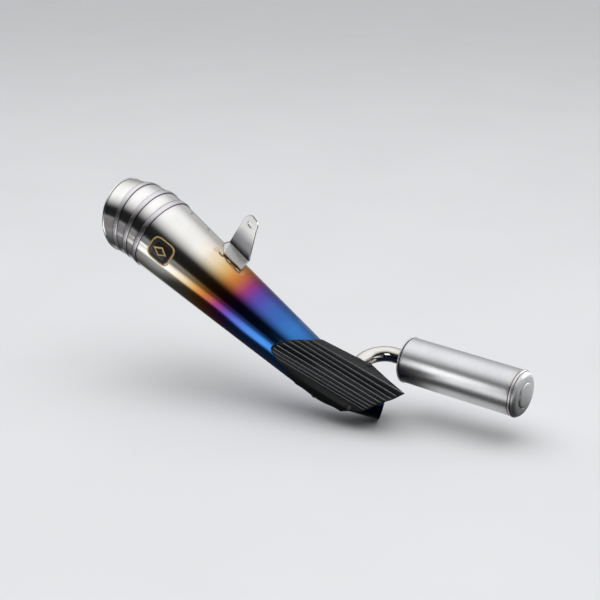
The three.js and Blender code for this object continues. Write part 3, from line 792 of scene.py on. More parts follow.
def tube_along(path, outer, inner, n=96, soft=0.45, taper=None):
    """A round tube along a path, with softened end edges. taper gives what the radius loses at a step."""
    u = axis_sides(path[0][1])[0]
    frames = []
    for p, d in path:
        u = (u - d * u.dot(d)).normalized()
        frames.append((p, d, (u, d.cross(u))))

    def ring(frame_at, r, shift=0.0):
        p, d, sides = frame_at
        return circle(p + d * shift, sides, r, n)

    less = [taper(i) if taper else 0.0 for i in range(len(frames))]
    first, last = frames[0], frames[-1]
    far_out, far_in = outer - less[-1], inner - less[-1]
    slight = soft * 0.3
    rings = [ring(first, outer - soft), ring(first, outer - slight, slight), ring(first, outer, soft)]
    rings += [ring(f, outer - d) for f, d in zip(frames[1:-1], less[1:-1])]
    rings += [ring(last, r, -back) for r, back in (
        (far_out, soft), (far_out - slight, slight), (far_out - soft, 0.0),
        (far_in + soft, 0.0), (far_in + slight, slight), (far_in, soft))]
    rings += [ring(f, inner - d) for f, d in zip(reversed(frames[1:-1]), reversed(less[1:-1]))]
    rings += [ring(first, inner, soft), ring(first, inner + slight, slight), ring(first, inner + soft)]
    return skin(rings)


def mitre_ring(joint, r, shift, n=AROUND, ripple=None):
    """The oval in the plane of a mitred joint. ripple adds to the radius by the angle."""
    centre, plane, half, _ = joint
    at = centre + dir_up(plane) * shift
    up = perp_up(plane)
    out = []
    for t in turns(n):
        k = r + (ripple(t) if ripple else 0.0)
        out.append(at + ACROSS * (k * cos(t)) + up * (k / cos(rad(half)) * sin(t)))
    return out


def between(a, b, steps):
    return [[p.lerp(q, k / steps) for p, q in zip(a, b)] for k in range(steps + 1)]


# ---- cone and tail skins ----
CONE_END = on_body(CONE_LENGTH, 0, 0)
UPRIGHT = (ACROSS, UPWARD)

outer = between(mitre_ring(JOINTS[0], CONE_BIG_R, -GAP / 2), circle(CONE_END, UPRIGHT, CONE_SMALL_R), 90)
inner = between(
    circle(CONE_END, UPRIGHT, CONE_SMALL_R - SKIN), mitre_ring(JOINTS[0], CONE_BIG_R - SKIN, -GAP / 2), 30)
build("cone_shell", skin(outer + inner), "titanium")

for i, node in enumerate(("tail_inner_segment", "tail_middle_segment", "tail_exit_segment")):
    a, b = JOINTS[i], JOINTS[i + 1]
    far = 0.0 if i == 2 else -GAP / 2
    outer = between(mitre_ring(a, a[3], GAP / 2), mitre_ring(b, b[3], far), 16)
    inner = between(mitre_ring(b, b[3] - SKIN, far), mitre_ring(a, a[3] - SKIN, GAP / 2), 8)
    build(node, skin(outer + inner), "titanium")

# raised weld bands with the fine ripple of a hand-laid bead
RIPPLES = 168


def ripple(depth):
    return lambda t: depth * (abs(sin(t * RIPPLES / 2)) - 0.6) + depth * 0.5 * sin(t * 11 + 1.3)


for i, node in enumerate(("cone_joint_weld", "middle_joint_weld", "exit_joint_weld")):
    joint = JOINTS[i]
    foot = joint[3] + GAP + 0.12
    rings = []
    for k in range(15):
        x = -1 + 2 * k / 14
        lift = (BEAD_HEIGHT - 0.5) * (1 - abs(x) ** 4)
        wave = ripple(0.07 * (1 - abs(x) ** 3))
        rings.append(mitre_ring(joint, foot + 0.1 + lift, x * BEAD_WIDTH / 2, BEAD_AROUND, wave))
    rings += [mitre_ring(joint, foot, side * BEAD_WIDTH / 2, BEAD_AROUND) for side in (1, -1)]
    build(node, skin(rings), "weld", 60.0)

# rolled lip around the exit
exit_joint = JOINTS[3]
lip = rounded([
    (-LIP_WIDTH, GAP + 0.3), (-LIP_WIDTH * 0.72, LIP_HEIGHT), (-LIP_WIDTH * 0.25, LIP_HEIGHT),
    (0.2, LIP_HEIGHT * 0.6), (0.2, GAP + 0.1),
], 0.7, 5)
build("exit_lip", skin([mitre_ring(exit_joint, exit_joint[3] + r, x) for x, r in lip]), "titanium")

# ---- inside of the tail ----
EXIT_DIR = dir_up(TAIL[2][1])
outlet_end = exit_joint[0] + EXIT_DIR * (OUTLET_PAST_PLATE - OUTLET_RECESS)
outlet_start = on_body(CORE_FROM - GAP, 0, 0)
corner_back = exit_joint[0].dot(UPWARD) / EXIT_DIR.dot(UPWARD)
outlet_corner = exit_joint[0] - EXIT_DIR * corner_back
outlet_path = rounded_path([outlet_start, outlet_corner, outlet_end], OUTLET_FILLET, 10)
build("outlet_tube", tube_along(outlet_path, OUTLET_R, OUTLET_R - SKIN, 96, 0.35), "inner")

plate_r = exit_joint[3] - SKIN - GAP - 0.6
plate_bore = OUTLET_R + GAP
plate = divided(rounded([
    (0, plate_bore), (-5, plate_r - 4), (0, plate_r), (1.4, plate_r), (-3.6, plate_r - 4.4), (1.4, plate_bore),
], 1.2, 4), 2.0)
build("exit_plate", revolve(plate, exit_joint[0] - EXIT_DIR * OUTLET_RECESS, EXIT_DIR), "inner")

# ---- inlet pipe ----
inlet_fillet = (INLET_CORNER - 0.6) / tan(FORWARD.angle(INLET_DIR) / 2)
inlet_path = rounded_path([on_body(CONE_LENGTH + GAP, 0, 0), INLET_BEND, INLET_CENTRE], inlet_fillet, 14)
INLET_TURN = INLET_DIR.angle(FORWARD)
inlet_bend = [i for i, (_, d) in enumerate(inlet_path) if 1e-4 < d.angle(FORWARD) < INLET_TURN - 1e-4]


def inlet_taper(i):
    """The bend narrows from the cone's small end to the socket."""
    share = (i - inlet_bend[0] + 1) / (len(inlet_bend) + 1)
    return (INLET_BIG_R - INLET_R) * max(0.0, min(1.0, share))


inlet_tube = tube_along(inlet_path, INLET_BIG_R, INLET_BIG_R - INLET_WALL, 144, taper=inlet_taper)
inlet_skin = BVHTree.FromPolygons(*inlet_tube)
build("inlet_pipe", inlet_tube, "titanium")


def inlet_bead(x):
    """One ring of the bead between cone and inlet pipe. x runs from -1 to 1 across it."""
    def radius(t):
        return CONE_SMALL_R + GAP + 0.08 + 0.6 * (1 - x * x) + 0.07 * (1 - abs(x)) * sin(t * 96)

    return circle(CONE_END + FORWARD * (x * INLET_BEAD_HALF), axis_sides(FORWARD), radius, SEAM_AROUND)


bead_rings = [inlet_bead(-1 + 2 * k / 10) for k in range(11)]
for side in (1, -1):
    foot_at = CONE_END + FORWARD * (side * INLET_BEAD_HALF)
    bead_rings.append(circle(foot_at, axis_sides(FORWARD), CONE_SMALL_R + GAP - 0.05, SEAM_AROUND))
build("inlet_joint_weld", skin(bead_rings), "side_weld", 70.0)

# ---- link pipe ----
link_corner = CHAMBER_START - CHAMBER_DIR * LINK_CORNER
lu, lv = axis_sides(LINK_TURN)


def reach_inlet(t, r):
    """Where a line beside the link pipe's axis meets the skin of the inlet pipe."""
    start = link_corner + LINK_TURN * 12 + lu * (r * cos(t)) + lv * (r * sin(t))
    hit, normal, _, _ = inlet_skin.ray_cast(start, LINK_TURN)
    return (hit, normal) if hit else (start + LINK_TURN * PAST_INLET, -LINK_TURN)


deep = max((reach_inlet(rad(a), LINK_R)[0] - link_corner).dot(LINK_TURN) for a in range(0, 360, 10))
link_end = link_corner + LINK_TURN * (deep + LINK_INTO_INLET)
link_path = rounded_path(
    [CHAMBER_START + CHAMBER_DIR * LINK_INTO_CHAMBER, link_corner, link_end], LINK_FILLET, 28)
build("link_pipe", tube_along(link_path, LINK_R, LINK_R - LINK_WALL, 96, 0.3), "pipe")

collar = []
for t in turns(240):
    hit, normal = reach_inlet(t, LINK_R + 0.4)
    outward = (lu * cos(t) + lv * sin(t)).normalized()
    if normal.dot(LINK_TURN) > 0:
        normal = -normal
    swell = 1 + 0.1 * sin(t * 34)
    collar.append([
        hit + outward * (0.3 + 1.75 * swell * cos(w)) + normal * (0.45 + 1.35 * swell * sin(w))
        for w in turns(12)])
build("link_joint_collar", skin(collar), "side_weld", 70.0)

# ---- side chamber ----
CHAMBER_BORE = CHAMBER_R - CHAMBER_WALL
shell = divided(rounded([
    (0, CHAMBER_R), (CHAMBER_LENGTH, CHAMBER_R), (CHAMBER_LENGTH, CHAMBER_BORE), (0, CHAMBER_BORE),
], 0.5, 4), 4.0)
build("chamber_shell", revolve(shell, CHAMBER_START, CHAMBER_DIR), "chamber")

front_cap = divided(rounded([
    (-GAP, CHAMBER_R + 0.9), (-1.8, CHAMBER_R + 0.9), (-4.4, CHAMBER_R - 5), (-4.6, LINK_R + GAP),
    (-3.2, LINK_R + GAP), (-3.0, CHAMBER_R - 5.4), (-GAP, CHAMBER_R - 2.2),
], 0.9, 5), 2.5)
build("chamber_front_cap", revolve(front_cap, CHAMBER_START, CHAMBER_DIR), "turned")


def bead_ring(at, profile, n, teeth, depth):
    """A revolved weld bead whose outside carries a fine ripple."""
    top = max(r for _, r in profile)
    low = min(r for _, r in profile)

    def rippled(r):
        share = (r - low) / (top - low)
        return lambda t: r - depth * share * (0.5 + 0.5 * cos(t * teeth))

    return skin([circle(at + CHAMBER_DIR * x, CHAMBER_SIDES, rippled(r), n) for x, r in profile])


link_cap = rounded([
    (-8.2, LINK_R + GAP), (-7.4, LINK_R + 1.9), (-5.4, LINK_R + 2.6), (-4.9, LINK_R + 2.2),
    (-4.9, LINK_R + GAP),
], 0.8, 4)
build("link_cap_weld", bead_ring(CHAMBER_START, link_cap, SEAM_AROUND, 40, 0.22), "side_weld", 70.0)

seam_ring = divided(rounded([
    (-CHAMBER_BEAD, CHAMBER_BORE), (-CHAMBER_BEAD, CHAMBER_R), (-CHAMBER_BEAD / 2, CHAMBER_R + 0.7),
    (CHAMBER_BEAD / 2, CHAMBER_R + 0.7), (CHAMBER_BEAD, CHAMBER_R), (CHAMBER_BEAD, CHAMBER_BORE),
], 0.5, 4), 0.6)
seam_at = CHAMBER_START + CHAMBER_DIR * BEAD_X
build("chamber_seam_weld", bead_ring(seam_at, seam_ring, 576, 96, 0.12), "chamber_weld", 70.0)

DOME_AT = CHAMBER_START + CHAMBER_DIR * (BEAD_X + CHAMBER_BEAD + GAP)
dome = divided(rounded([
    (0, CHAMBER_R - 0.5), (1.8, CHAMBER_R - 1.2), (3.6, CHAMBER_R - 3.2), (4.8, CHAMBER_R - 6.2),
    (DOME_RISE - 2.0, DOME_DISC_R + GAP), (DOME_RISE - 3.4, DOME_DISC_R + GAP), (3.5, CHAMBER_R - 6.8),
    (2.4, CHAMBER_R - 4.2), (0, CHAMBER_R - 2.0),
], 1.2, 6), 1.0)
build("chamber_dome_cap", revolve(dome, DOME_AT, CHAMBER_DIR), "turned", 50.0)
disc = rounded([
    (DOME_RISE - 3.2, DOME_DISC_R), (DOME_RISE - 1.2, DOME_DISC_R), (DOME_RISE - 0.4, DOME_DISC_R - 2.6),
    (DOME_RISE - 0.1, 6),
], 1.0, 6, closed=False)
disc += [(DOME_RISE - 0.05, 3.0), (DOME_RISE - 0.03, 0.6)]
build("dome_centre_disc", revolve(disc, DOME_AT, CHAMBER_DIR, 96, False), "turned", 50.0)


# ---- hanger bracket ----
def inset(outline, by):
    """The outline moved inwards along its normals. It runs anticlockwise for a solid, clockwise for a hole."""
    out = []
    for i, p in enumerate(outline):
        a, b = outline[i - 1], outline[(i + 1) % len(outline)]
        na = Vector((a[1] - p[1], p[0] - a[0])).normalized()
        nb = Vector((p[1] - b[1], b[0] - p[0])).normalized()
        n = (na + nb).normalized()
        out.append((p[0] + n.x * by / max(0.5, n.dot(na)), p[1] + n.y * by / max(0.5, n.dot(na))))
    return out


def plate_with_hole(name, outline, hole, y, thick, soft):
    """A sheet with rounded edges cut from one outline of (distance, height) points, with one hole."""
    bends = [rad(a) for a in (0, 25, 50, 90)]
    layers = [(soft * (1 - sin(a)), thick / 2 - soft * (1 - cos(a))) for a in bends]
    layers += [(by, -z) for by, z in reversed(layers)]
    points, faces = [], []
    for loop_points in (outline, hole):
        n = len(loop_points)
        start = len(points)
        for by, z in layers:
            points += [on_body(s, h, y - z) for s, h in inset(loop_points, by)]
        for i in range(len(layers) - 1):
            for j in range(n):
                k = (j + 1) % n
                a, b = start + i * n, start + (i + 1) * n
                faces.append((a + j, a + k, b + k, b + j))
    n, m = len(outline), len(hole)
    flat = [[Vector((s, h, 0)) for s, h in inset(loop_points, soft)] for loop_points in (outline, hole)]
    base = len(layers) * n
    for layer in (0, len(layers) - 1):
        index = [layer * n + j for j in range(n)] + [base + layer * m + j for j in range(m)]
        faces += [tuple(index[v] for v in tri) for tri in tessellate_polygon(flat)]
    return to_mesh(name, points, faces)


def arc(centre, r, start, end, steps=24, stretch=1.0):
    angles = [rad(start + (end - start) * k / steps) for k in range(steps + 1)]
    return [(centre[0] + r * stretch * cos(a), centre[1] + r * sin(a)) for a in angles]


SLOT_ENDS = [(SLOT_S + side * (SLOT_LENGTH - SLOT_WIDTH) / 2, SLOT_H - side * SLOT_SLANT) for side in (1, -1)]
squeeze = (TAB_TOP_R - 0.8) / TAB_TOP_R
tab_outline = TAB_BASE + arc(SLOT_ENDS[0], TAB_TOP_R, -8, 85, stretch=squeeze)
tab_outline += arc(SLOT_ENDS[1], TAB_TOP_R, 85, 178, stretch=squeeze)
slot_outline = arc(SLOT_ENDS[0], SLOT_WIDTH / 2, 90, -90) + arc(SLOT_ENDS[1], SLOT_WIDTH / 2, 270, 90)
tab = plate_with_hole("tab", tab_outline, slot_outline, TAB_Y, TAB_THICK, 0.35)


def at_bend(p):
    return on_body(p[0], p[1] + TAB_BEND_HEIGHT, TAB_Y + TAB_THICK / 2)


def on_sheet(s, angle):
    return on_skin(s, angle, GAP + 0.1 + SHEET)


def slab(name, corners, soft=0.3):
    """A flat sheet between corners, with softened edges."""
    bm = bmesh.new()
    for p in corners:
        bm.verts.new(p)
        bm.verts.new(p - UPWARD * SHEET)
    bmesh.ops.convex_hull(bm, input=bm.verts)
    bmesh.ops.dissolve_limit(bm, angle_limit=rad(2), verts=bm.verts, edges=bm.edges)
    bmesh.ops.bevel(bm, geom=list(bm.edges), offset=soft, segments=3, profile=0.5, affect="EDGES")
    me = bpy.data.meshes.new(name)
    bm.to_mesh(me)
    bm.free()
    for v in me.vertices:
        v.co = place(v.co)
    return me


def combined(name, a, b, operation="UNION"):
    """One closed mesh from two that overlap."""
    for me in (a, b):
        finish_mesh(me)
    first, second = add_object("a", a), add_object("b", b)
    tool = first.modifiers.new("join", "BOOLEAN")
    tool.operation, tool.solver, tool.object = operation, "EXACT", second
    bpy.context.view_layer.update()
    me = bpy.data.meshes.new_from_object(first.evaluated_get(bpy.context.evaluated_depsgraph_get()))
    me.name = name
    for o in (first, second):
        bpy.data.objects.remove(o)
    return me


foot_rear, foot_front = on_sheet(*FLANGE_REAR), on_sheet(*FLANGE_FRONT)
bend_rear, bend_front = at_bend(TAB_BASE[0]), at_bend(TAB_BASE[1])
flange = slab("flange", [bend_rear, bend_front, foot_front, foot_rear])
gusset = slab("gusset", [bend_rear, foot_rear, on_sheet(*GUSSET_FOOT)])
# the bracket's foot is cut to clear the cone and its lengthwise seam
keep_off = to_mesh("keep_off", *skin([
    circle(on_body(s, 0, 0), UPRIGHT, cone_r(s) + GAP + 0.12) for s in (70, 100, 145)], False))
channel = []
for s in (70, 90, 110):
    half = degrees((SEAM_WIDTH / 2 + GAP) / cone_r(s))
    top = 2 * GAP + 0.15 + SEAM_HEIGHT
    corners = ((-half, -1), (half, -1), (half, top), (-half, top))
    channel.append([on_skin(s, SEAM_ANGLE + a, off) for a, off in corners])
keep_off = combined("keep_off", keep_off, to_mesh("channel", *skin(channel, False)))
folded = combined("folded", combined("tab_and_flange", tab, flange), gusset)
piece("hanger_bracket", combined("hanger_bracket", folded, keep_off, "DIFFERENCE"), "bracket", 11.0)

# stitch welds along the flange's near edge, laid as overlapping drops
STITCH_STEPS = 44
DROP = 1.4


def stitch_ring(s0, s1, t):
    """One cross section of a stitch weld. t runs from 0 to 1 along it."""
    s = s0 + (s1 - s0) * t
    swell = 1 + 0.08 * sin(t * (s1 - s0) / DROP * 2 * pi)
    w = max(0.2, min(1.0, 5 * t + 0.2, 5 * (1 - t) + 0.2)) * swell
    r = cone_r(s)
    start = 90 - degrees(asin(STITCH_ACROSS / r))
    ring = []
    for j in range(15):
        q = pi * j / 14
        x = -1.3 + 1.2 * w * cos(q)
        ring.append(on_skin(s, start + degrees(x / r), LOW + 0.85 * w * sin(q)))
    return ring


for i, (s0, s1) in enumerate(STITCHES):
    rings = [stitch_ring(s0, s1, k / STITCH_STEPS) for k in range(STITCH_STEPS + 1)]
    build(f"bracket_stitch_weld_{i + 1}", skin(rings, False), "stitch", 70.0)

# ---- ribbed side cover ----
# fold lines of the cover: distance along the body and angle of the rear end, and place of the front end
COVER_ROWS = [
    (278.8, -31, (299.5, -28, -173.3)),
    (260.9, -16, (315.9, -30, -168.4)),
    (243.7, -5, (331.6, -27, -166.3)),
    (231.0, 4, (340.0, -27, -161.1)),
    (230.4, 17, (349.1, -26, -155.1)),
    (238.9, 36, (360.3, -24, -148.5)),
    (248.4, 54, (370.2, -20, -143.5)),
    (260.0, 75.5, (380.9, -14, -136.1)),
    (264.5, 92, (349.5, -1, -128.8)),
    (266.5, 104, (320.5, 10, -119.6)),
]
RIB_FROM, RIB_TO = 2, 7
ROW_REAR = [on_skin(s, a, COVER_STANDOFF) for s, a, _ in COVER_ROWS]
ROW_FRONT = [Vector(f) for _, _, f in COVER_ROWS]


def on_rows(rows, u):
    """A place between two rows. The ribbed face is rounded from row to row, the rest is flat."""
    i = min(int(u), len(rows) - 2)
    f = u - i
    a, b = rows[i], rows[i + 1]
    if not RIB_FROM <= i < RIB_TO:
        return a.lerp(b, f)
    before = rows[i - 1] if i > RIB_FROM else a * 2 - b
    after = rows[i + 2] if i + 1 < RIB_TO else b * 2 - a
    m0, m1 = (b - before) / 2, (after - a) / 2
    f2, f3 = f * f, f * f * f
    return a * (2 * f3 - 3 * f2 + 1) + m0 * (f3 - 2 * f2 + f) + b * (3 * f2 - 2 * f3) + m1 * (f3 - f2)


def cover_sheet(u, t):
    return on_rows(ROW_REAR, u).lerp(on_rows(ROW_FRONT, u), t)


def cover_normal(u, t, reach=0.2):
    lo, hi = max(0.0, u - reach), min(len(COVER_ROWS) - 1.0, u + reach)
    across = cover_sheet(hi, t) - cover_sheet(lo, t)
    run = on_rows(ROW_FRONT, u) - on_rows(ROW_REAR, u)
    n = across.cross(run).normalized()
    return -n if n.dot(Vector((0, -1, 0.5))) < 0 else n


def cover_point(u, t, lift):
    return cover_sheet(u, t) + cover_normal(u, t) * lift


def ease(x):
    x = max(0.0, min(1.0, x))
    return x * x * (3 - 2 * x)


def rib_phase(u):
    """How far across its rib a place is, from 0 to 1, or 0 beside the ribs."""
    return (u - RIB_FROM) / (RIB_TO - RIB_FROM) * RIBS % 1.0 if RIB_FROM <= u < RIB_TO - 1e-6 else 0.0


def rib_lift(u):
    """Height of the ribs over the sheet: flat tops with soft shoulders."""
    phase = rib_phase(u)
    return RIB_RISE * ease((phase - 0.28) / 0.15) * (1 - ease((phase - 0.84) / 0.15))


cover_us = [k * 0.1 for k in range(0, 20)]
cover_us += [RIB_FROM + (RIB_TO - RIB_FROM) * k / (RIBS * 22) for k in range(RIBS * 22)]
cover_us += [RIB_TO + k * 0.1 for k in range(0, 21)]
cover_ts = [0.0, 0.004, 0.012, 0.024, 0.034, 0.044, 0.056] + [0.07 + 0.86 * k / 26 for k in range(27)]
cover_ts += [0.944, 0.956, 0.966, 0.976, 0.988, 0.996, 1.0]


def fade(t):
    """Ribs grow from the plain rear rim and die out at the front rim."""
    return ease((t - 0.012) / 0.03) * ease((0.992 - t) / 0.012)


def cover_mesh():
    """The sheet as an outer and an inner grid joined round the rim, with the weave's own measures."""
    points, weave, faces = [], [], []
    rows, cols = len(cover_ts), len(cover_us)
    edge = 0.35
    measure = [0.0]
    for a, b in zip(cover_us, cover_us[1:]):
        measure.append(measure[-1] + (cover_point(b, 0.4, 0) - cover_point(a, 0.4, 0)).length)
    for side in (0, 1):
        for i, t in enumerate(cover_ts):
            for j, u in enumerate(cover_us):
                rim = i in (0, rows - 1) or j in (0, cols - 1)
                lift = rib_lift(u) * fade(t)
                if side:
                    lift = -COVER_THICK + (edge if rim else 0.0)
                elif rim:
                    lift = -edge
                points.append(cover_point(u, t, lift))
                run = (on_rows(ROW_FRONT, u) - on_rows(ROW_REAR, u)).length
                phase = 0.85 if abs(u - RIB_TO) < 0.01 else rib_phase(u)
                weave.append((measure[j], run * t, phase * min(1.0, fade(t) * 4)))
    size = rows * cols

    def at(side, i, j):
        return side * size + i * cols + j

    for side in (0, 1):
        for i in range(rows - 1):
            for j in range(cols - 1):
                faces.append((at(side, i, j), at(side, i, j + 1), at(side, i + 1, j + 1), at(side, i + 1, j)))
    for i in range(rows - 1):
        for j in (0, cols - 1):
            faces.append((at(0, i, j), at(0, i + 1, j), at(1, i + 1, j), at(1, i, j)))
    for j in range(cols - 1):
        for i in (0, rows - 1):
            faces.append((at(0, i, j), at(0, i, j + 1), at(1, i, j + 1), at(1, i, j)))
    me = to_mesh("side_cover", points, faces)
    layer = me.attributes.new("weave", "FLOAT_VECTOR", "POINT")
    # the weave lies at 45 degrees to the ribs
    turned = [(0.7071 * (x + y), 0.7071 * (y - x), z) for x, y, z in weave]
    layer.data.foreach_set("vector", [c for w in turned for c in w])
    return me


piece("side_cover", cover_mesh(), "carbon", 32.0)

# cover fixings: a hexagon socket screw and a spacer that ends on the inlet pipe
SCREW_AROUND = 48
SPACER_R, SPACER_BORE, SPACER_MOST = 3.6, 2.35, 30.0


def hexagon(flat):
    return lambda a: flat / cos((a % (pi / 3)) - pi / 6)


# which screw, its place between the cover's rows, and its share of the way to the front
for name, u, t in (("upper", 8.75, 0.885), ("lower", 1.35, 0.925)):
    top = cover_point(u, t, 0.0)
    facing = (top - cover_point(u, t, -COVER_THICK)).normalized()
    sides = axis_sides(facing)
    head = rounded([(0.45, 2.0), (0.45, 3.3), (0.9, 3.25), (1.5, 2.75), (1.98, 1.85)], 0.3, 3, closed=False)
    rings = [circle(top + facing * x, sides, r, SCREW_AROUND) for x, r in [(-9, 1.75), (-8.75, 2.0)] + head]
    for x, flat in ((1.96, 1.3), (1.8, 1.2), (0.8, 1.15)):
        rings.append(circle(top + facing * x, sides, hexagon(flat), SCREW_AROUND))
    build(f"{name}_cover_screw", skin(rings, False), "screw", 30.0)
    under = top - facing * (COVER_THICK + 3 * GAP)
    hit = inlet_skin.ray_cast(under - facing * 0.1, -facing)[0]
    depth = (hit - under).length + 0.4 if hit else SPACER_MOST
    tube = rounded([(0, SPACER_BORE), (0, SPACER_R), (-depth, SPACER_R), (-depth, SPACER_BORE)], 0.3, 3)
    build(f"{name}_cover_spacer", revolve(tube, under, facing, 64), "screw")


# ---- generic badge ----
def badge_ring(outline, k, off):
    ring = []
    for x, y in outline:
        s = BADGE_S + x * k * BADGE_LENGTH / 2
        angle = BADGE_ANGLE + degrees(y * k * BADGE_HEIGHT / 2 / cone_r(s))
        ring.append(on_skin(s, angle, off))
    return ring


def badge_rings(outline, profile):
    """Rings for a profile of (share of the outline, height over the badge's back) pairs."""
    return [badge_ring(outline, k, LOW + high) for k, high in profile]


badge_outline = []
for t in turns(120):
    size = 1 / (abs(cos(t)) ** 4 + abs(sin(t)) ** 4) ** 0.25
    badge_outline.append((size * cos(t), size * sin(t)))
build("badge_plate", skin(badge_rings(badge_outline, (
    (0.2, 0), (0.5, 0), (0.855, 0), (0.86, 0.15), (0.86, 0.45), (0.85, 0.58), (0.82, 0.6), (0.74, 0.6),
    (0.72, 0.42), (0.55, 0.42), (0.35, 0.42), (0.12, 0.42))), False), "enamel")
build("badge_frame", skin(badge_rings(badge_outline, (
    (0.90, 0), (1.0, 0), (1.0, 0.6), (0.992, 0.82), (0.975, 0.9), (0.925, 0.9), (0.908, 0.82),
    (0.90, 0.6)))), "gold")
lozenge = []
corners = [(0.62, 0.0), (0.0, 0.42), (-0.62, 0.0), (0.0, -0.42)]
for (ax, ay), (bx, by) in zip(corners, corners[1:] + corners[:1]):
    lozenge += [(ax + (bx - ax) * k / 12, ay + (by - ay) * k / 12) for k in range(12)]
build("badge_lozenge", skin(badge_rings(lozenge, (
    (0.66, 1.0), (1.0, 1.0), (0.99, 1.25), (0.93, 1.48), (0.80, 1.5), (0.66, 1.2)))), "gold", 24.0)

# ---- lengthwise seam of the rolled cone ----
seam = []
for k in range(141):
    s = SEAM_FROM + (SEAM_TO - SEAM_FROM) * k / 140
    half = degrees(SEAM_WIDTH / 2 / cone_r(s)) * (1 + 0.05 * sin(k * 1.7))
    high = SEAM_HEIGHT * (1 - 0.18 * (k % 2))
    ring = [on_skin(s, SEAM_ANGLE - half, LOW), on_skin(s, SEAM_ANGLE + half, LOW)]
    for j in range(1, 8):
        a = pi * j / 8
        ring.append(on_skin(s, SEAM_ANGLE + half * cos(a), LOW + high * sin(a) ** 0.7))
    seam.append(ring)
build("cone_seam_weld", skin(seam, False), "seam", 70.0)

# ---- CAD nodes that keep their own shape ----
for node in ("perforated_core", "rear_baffle", "front_baffle", "sound_packing"):
    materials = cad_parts[node].data.materials
    materials.clear()
    materials.append(LOOKS["wool" if node == "sound_packing" else "inner"][0].mat)

# ================================================================ studio
FLOOR_Z = CAD_LO.z - 0.0004
STAGE_REACH = 22.0
BACKDROP_TONE = "cecfd1"


class Light(Look):
    """The node shortcuts of Look on any other node tree."""

    def __init__(self, tree):
        self.tree = tree


def emission(name, colour=(1.0, 1.0, 1.0, 1.0), strength_of=None):
    """A surface that only gives light. strength_of works its strength out by nodes."""
    mat = bpy.data.materials.new(name)
    mat.use_nodes = True
    mat.node_tree.nodes.clear()
    k = Light(mat.node_tree)
    glow = k.node("ShaderNodeEmission", {"Color": colour, "Strength": strength_of(k) if strength_of else 1.0})
    k.node("ShaderNodeOutputMaterial", {0: glow.outputs[0]})
    return mat


def stage_object(name, me, mat, unseen_by):
    """Puts a mesh on the stage, out of sight of the kinds of ray that are named."""
    me.materials.append(mat)
    obj = add_object(name, me)
    for ray in unseen_by:
        setattr(obj, "visible_" + ray, False)


def plane(name, z):
    me = bpy.data.meshes.new(name)
    corners = [(x * STAGE_REACH, y * STAGE_REACH, z) for x, y in ((-1, -1), (1, -1), (1, 1), (-1, 1))]
    me.from_pydata(corners, [], [(0, 1, 2, 3)])
    return me


paper = Look("floor_paper", Roughness=0.6, Specular_IOR_Level=0.2)
paper_grain = paper.noise(paper.at, 0.004, 3.0)
paper.set(Base_Color=paper.mix(paper_grain, BACKDROP_TONE, "d4d5d7"))
stage_object("floor", plane("floor", FLOOR_Z), paper.mat, ("glossy",))


def floor_glow(k):
    """What polished metal sees of the floor: dark close under the object, lit in front of it."""
    x, y, _ = k.split(k.node("ShaderNodeTexCoord").outputs["Object"])
    edge = k.mul(k.step(x, -0.38, -0.26, -0.27, -0.17), k.step(x, -0.26, 0.0, 1.0, 0.6))
    lit = k.step(k.sub(edge, y), -0.02, 0.06, 0.03, 1.1)
    depth = k.step(y, -1.6, -0.35, 0.3, 1.0)
    middle = k.mul(k.step(x, -0.42, -0.32, 1.0, 1.4), k.step(x, -0.16, -0.10, 1.0, 0.65))
    ahead = k.mul(lit, depth, k.step(x, -0.80, -0.58, 0.2, 1.2), middle)
    card = k.mul(
        k.step(x, -0.92, -0.86), k.fall(x, -0.76, -0.68),
        k.step(y, -1.02, -0.92), k.fall(y, -0.78, -0.66, 2.2))
    under_tail = k.mul(
        k.step(x, -0.62, -0.50, 0.6, 1.0), k.fall(x, -0.50, -0.43),
        k.step(y, -0.25, -0.02, 0.36, 0.08))
    beyond_dome = k.most(k.fall(x, 0.12, 0.18), k.step(y, 0.09, 0.24, 0.12, 1.0))
    behind = k.math("MINIMUM", k.rise(y, 0.02, 0.11, 0.6), beyond_dome)
    under_chamber = k.mul(
        k.rise(x, 0.0, 0.05, 0.6), k.step(y, -0.035, 0.0), k.fall(x, 0.13, 0.17))
    return k.most(ahead, under_tail, behind, under_chamber, card)


stage_object(
    "floor_glow", plane("floor_glow", FLOOR_Z - 0.0006), emission("floor_glow", strength_of=floor_glow),
    ("camera", "diffuse", "shadow", "transmission"))

me = bpy.data.meshes.new("backdrop")
sphere = bmesh.new()
bmesh.ops.create_uvsphere(sphere, u_segments=48, v_segments=24, radius=STAGE_REACH)
sphere.to_mesh(me)
sphere.free()
stage_object(
    "backdrop", me, emission("backdrop", BACKDROP_TONE), ("diffuse", "glossy", "shadow", "transmission"))

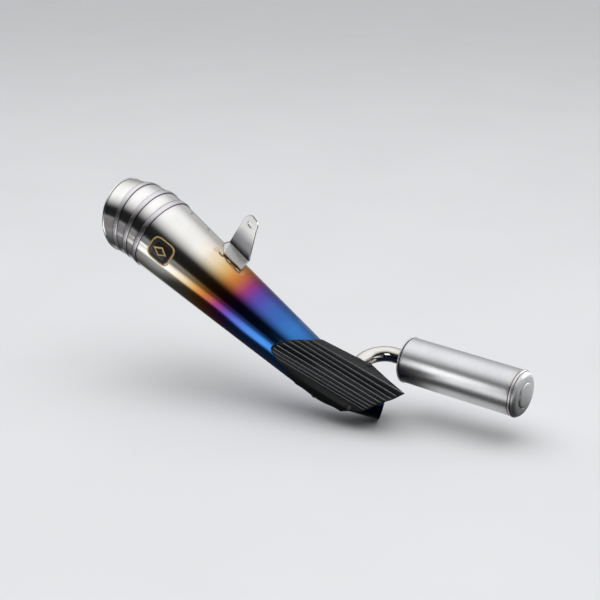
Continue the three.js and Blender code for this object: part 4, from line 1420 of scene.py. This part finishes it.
# a dark room with one large soft overhead light
world = bpy.data.worlds.new("studio")
bpy.context.scene.world = world
world.use_nodes = True
back = world.node_tree.nodes["Background"]
sky = Light(world.node_tree)
wx, wy, wz = sky.split(sky.node("ShaderNodeTexCoord").outputs["Generated"])
high = sky.most(wz, 0.02)
px, py = sky.math("DIVIDE", wx, high), sky.math("DIVIDE", wy, high)
front = sky.step(py, -1.42, -0.1)
fall = sky.step(py, 0.2, 1.7, 1.15, 0.55)
wide = sky.step(sky.apart(px, -0.1), 1.3, 3.0, 1.0, 0.55)
overhead = sky.mul(front, fall, wide, sky.step(wz, -0.02, 0.02))
low_front = sky.mul(sky.fall(wz, 0.03, 0.12, 0.3), sky.fall(wy, -0.35, -0.1))
sky.feed(back.inputs["Strength"], sky.add(sky.add(overhead, low_front), 0.012))
back.inputs["Color"].default_value = (0.985, 0.992, 1.0, 1.0)


def area_light(name, at, target, size, power, unseen_by):
    light = bpy.data.lights.new(name, "AREA")
    light.shape = "RECTANGLE"
    light.size, light.size_y = size
    light.energy = power
    obj = add_object(name, light)
    obj.location = at
    obj.rotation_mode = "QUATERNION"
    obj.rotation_quaternion = (Vector(target) - Vector(at)).to_track_quat("-Z", "Y")
    obj.visible_camera = False
    setattr(obj, "visible_" + unseen_by, False)


# a fill for the paper floor alone, and two lights that only metal mirrors: one beyond the domed end of
# the chamber and a small one close to the chamber's near side
area_light("floor_fill", (0.0, -0.3, 3.0), (-0.1, 0.0, 0.0), (4.0, 4.0), 66.0, "glossy")
dome_at = place(DOME_AT)
area_light("end_light", dome_at + Vector((0.42, 0.75, 0.30)), dome_at, (0.6, 0.45), 3.6, "diffuse")
chamber_mid = place(CHAMBER_START + CHAMBER_DIR * (CHAMBER_LENGTH / 2))
side_at = chamber_mid + Vector((-0.132, -0.282, 0.064))
area_light("side_light", side_at, chamber_mid, (0.13, 0.11), 0.1, "diffuse")

# ---- camera ----
camera = bpy.data.cameras.new("camera")
camera.sensor_width = 36.0
camera.lens = 81.0
camera.clip_start, camera.clip_end = 0.05, 60.0
cam = add_object("camera", camera)
azimuth, elevation = rad(34.67), rad(17.32)
right = Vector((cos(azimuth), sin(azimuth), 0))
level = cos(elevation)
backward = Vector((sin(azimuth) * level, -cos(azimuth) * level, sin(elevation)))
upright = backward.cross(right)
cam.rotation_mode = "QUATERNION"
cam.rotation_quaternion = Matrix((right, upright, backward)).transposed().to_quaternion()
cam.location = place(Vector((1128.18, -1311.88, 445.04)))
bpy.context.scene.camera = cam
bpy.context.scene.view_settings.view_transform = "Standard"
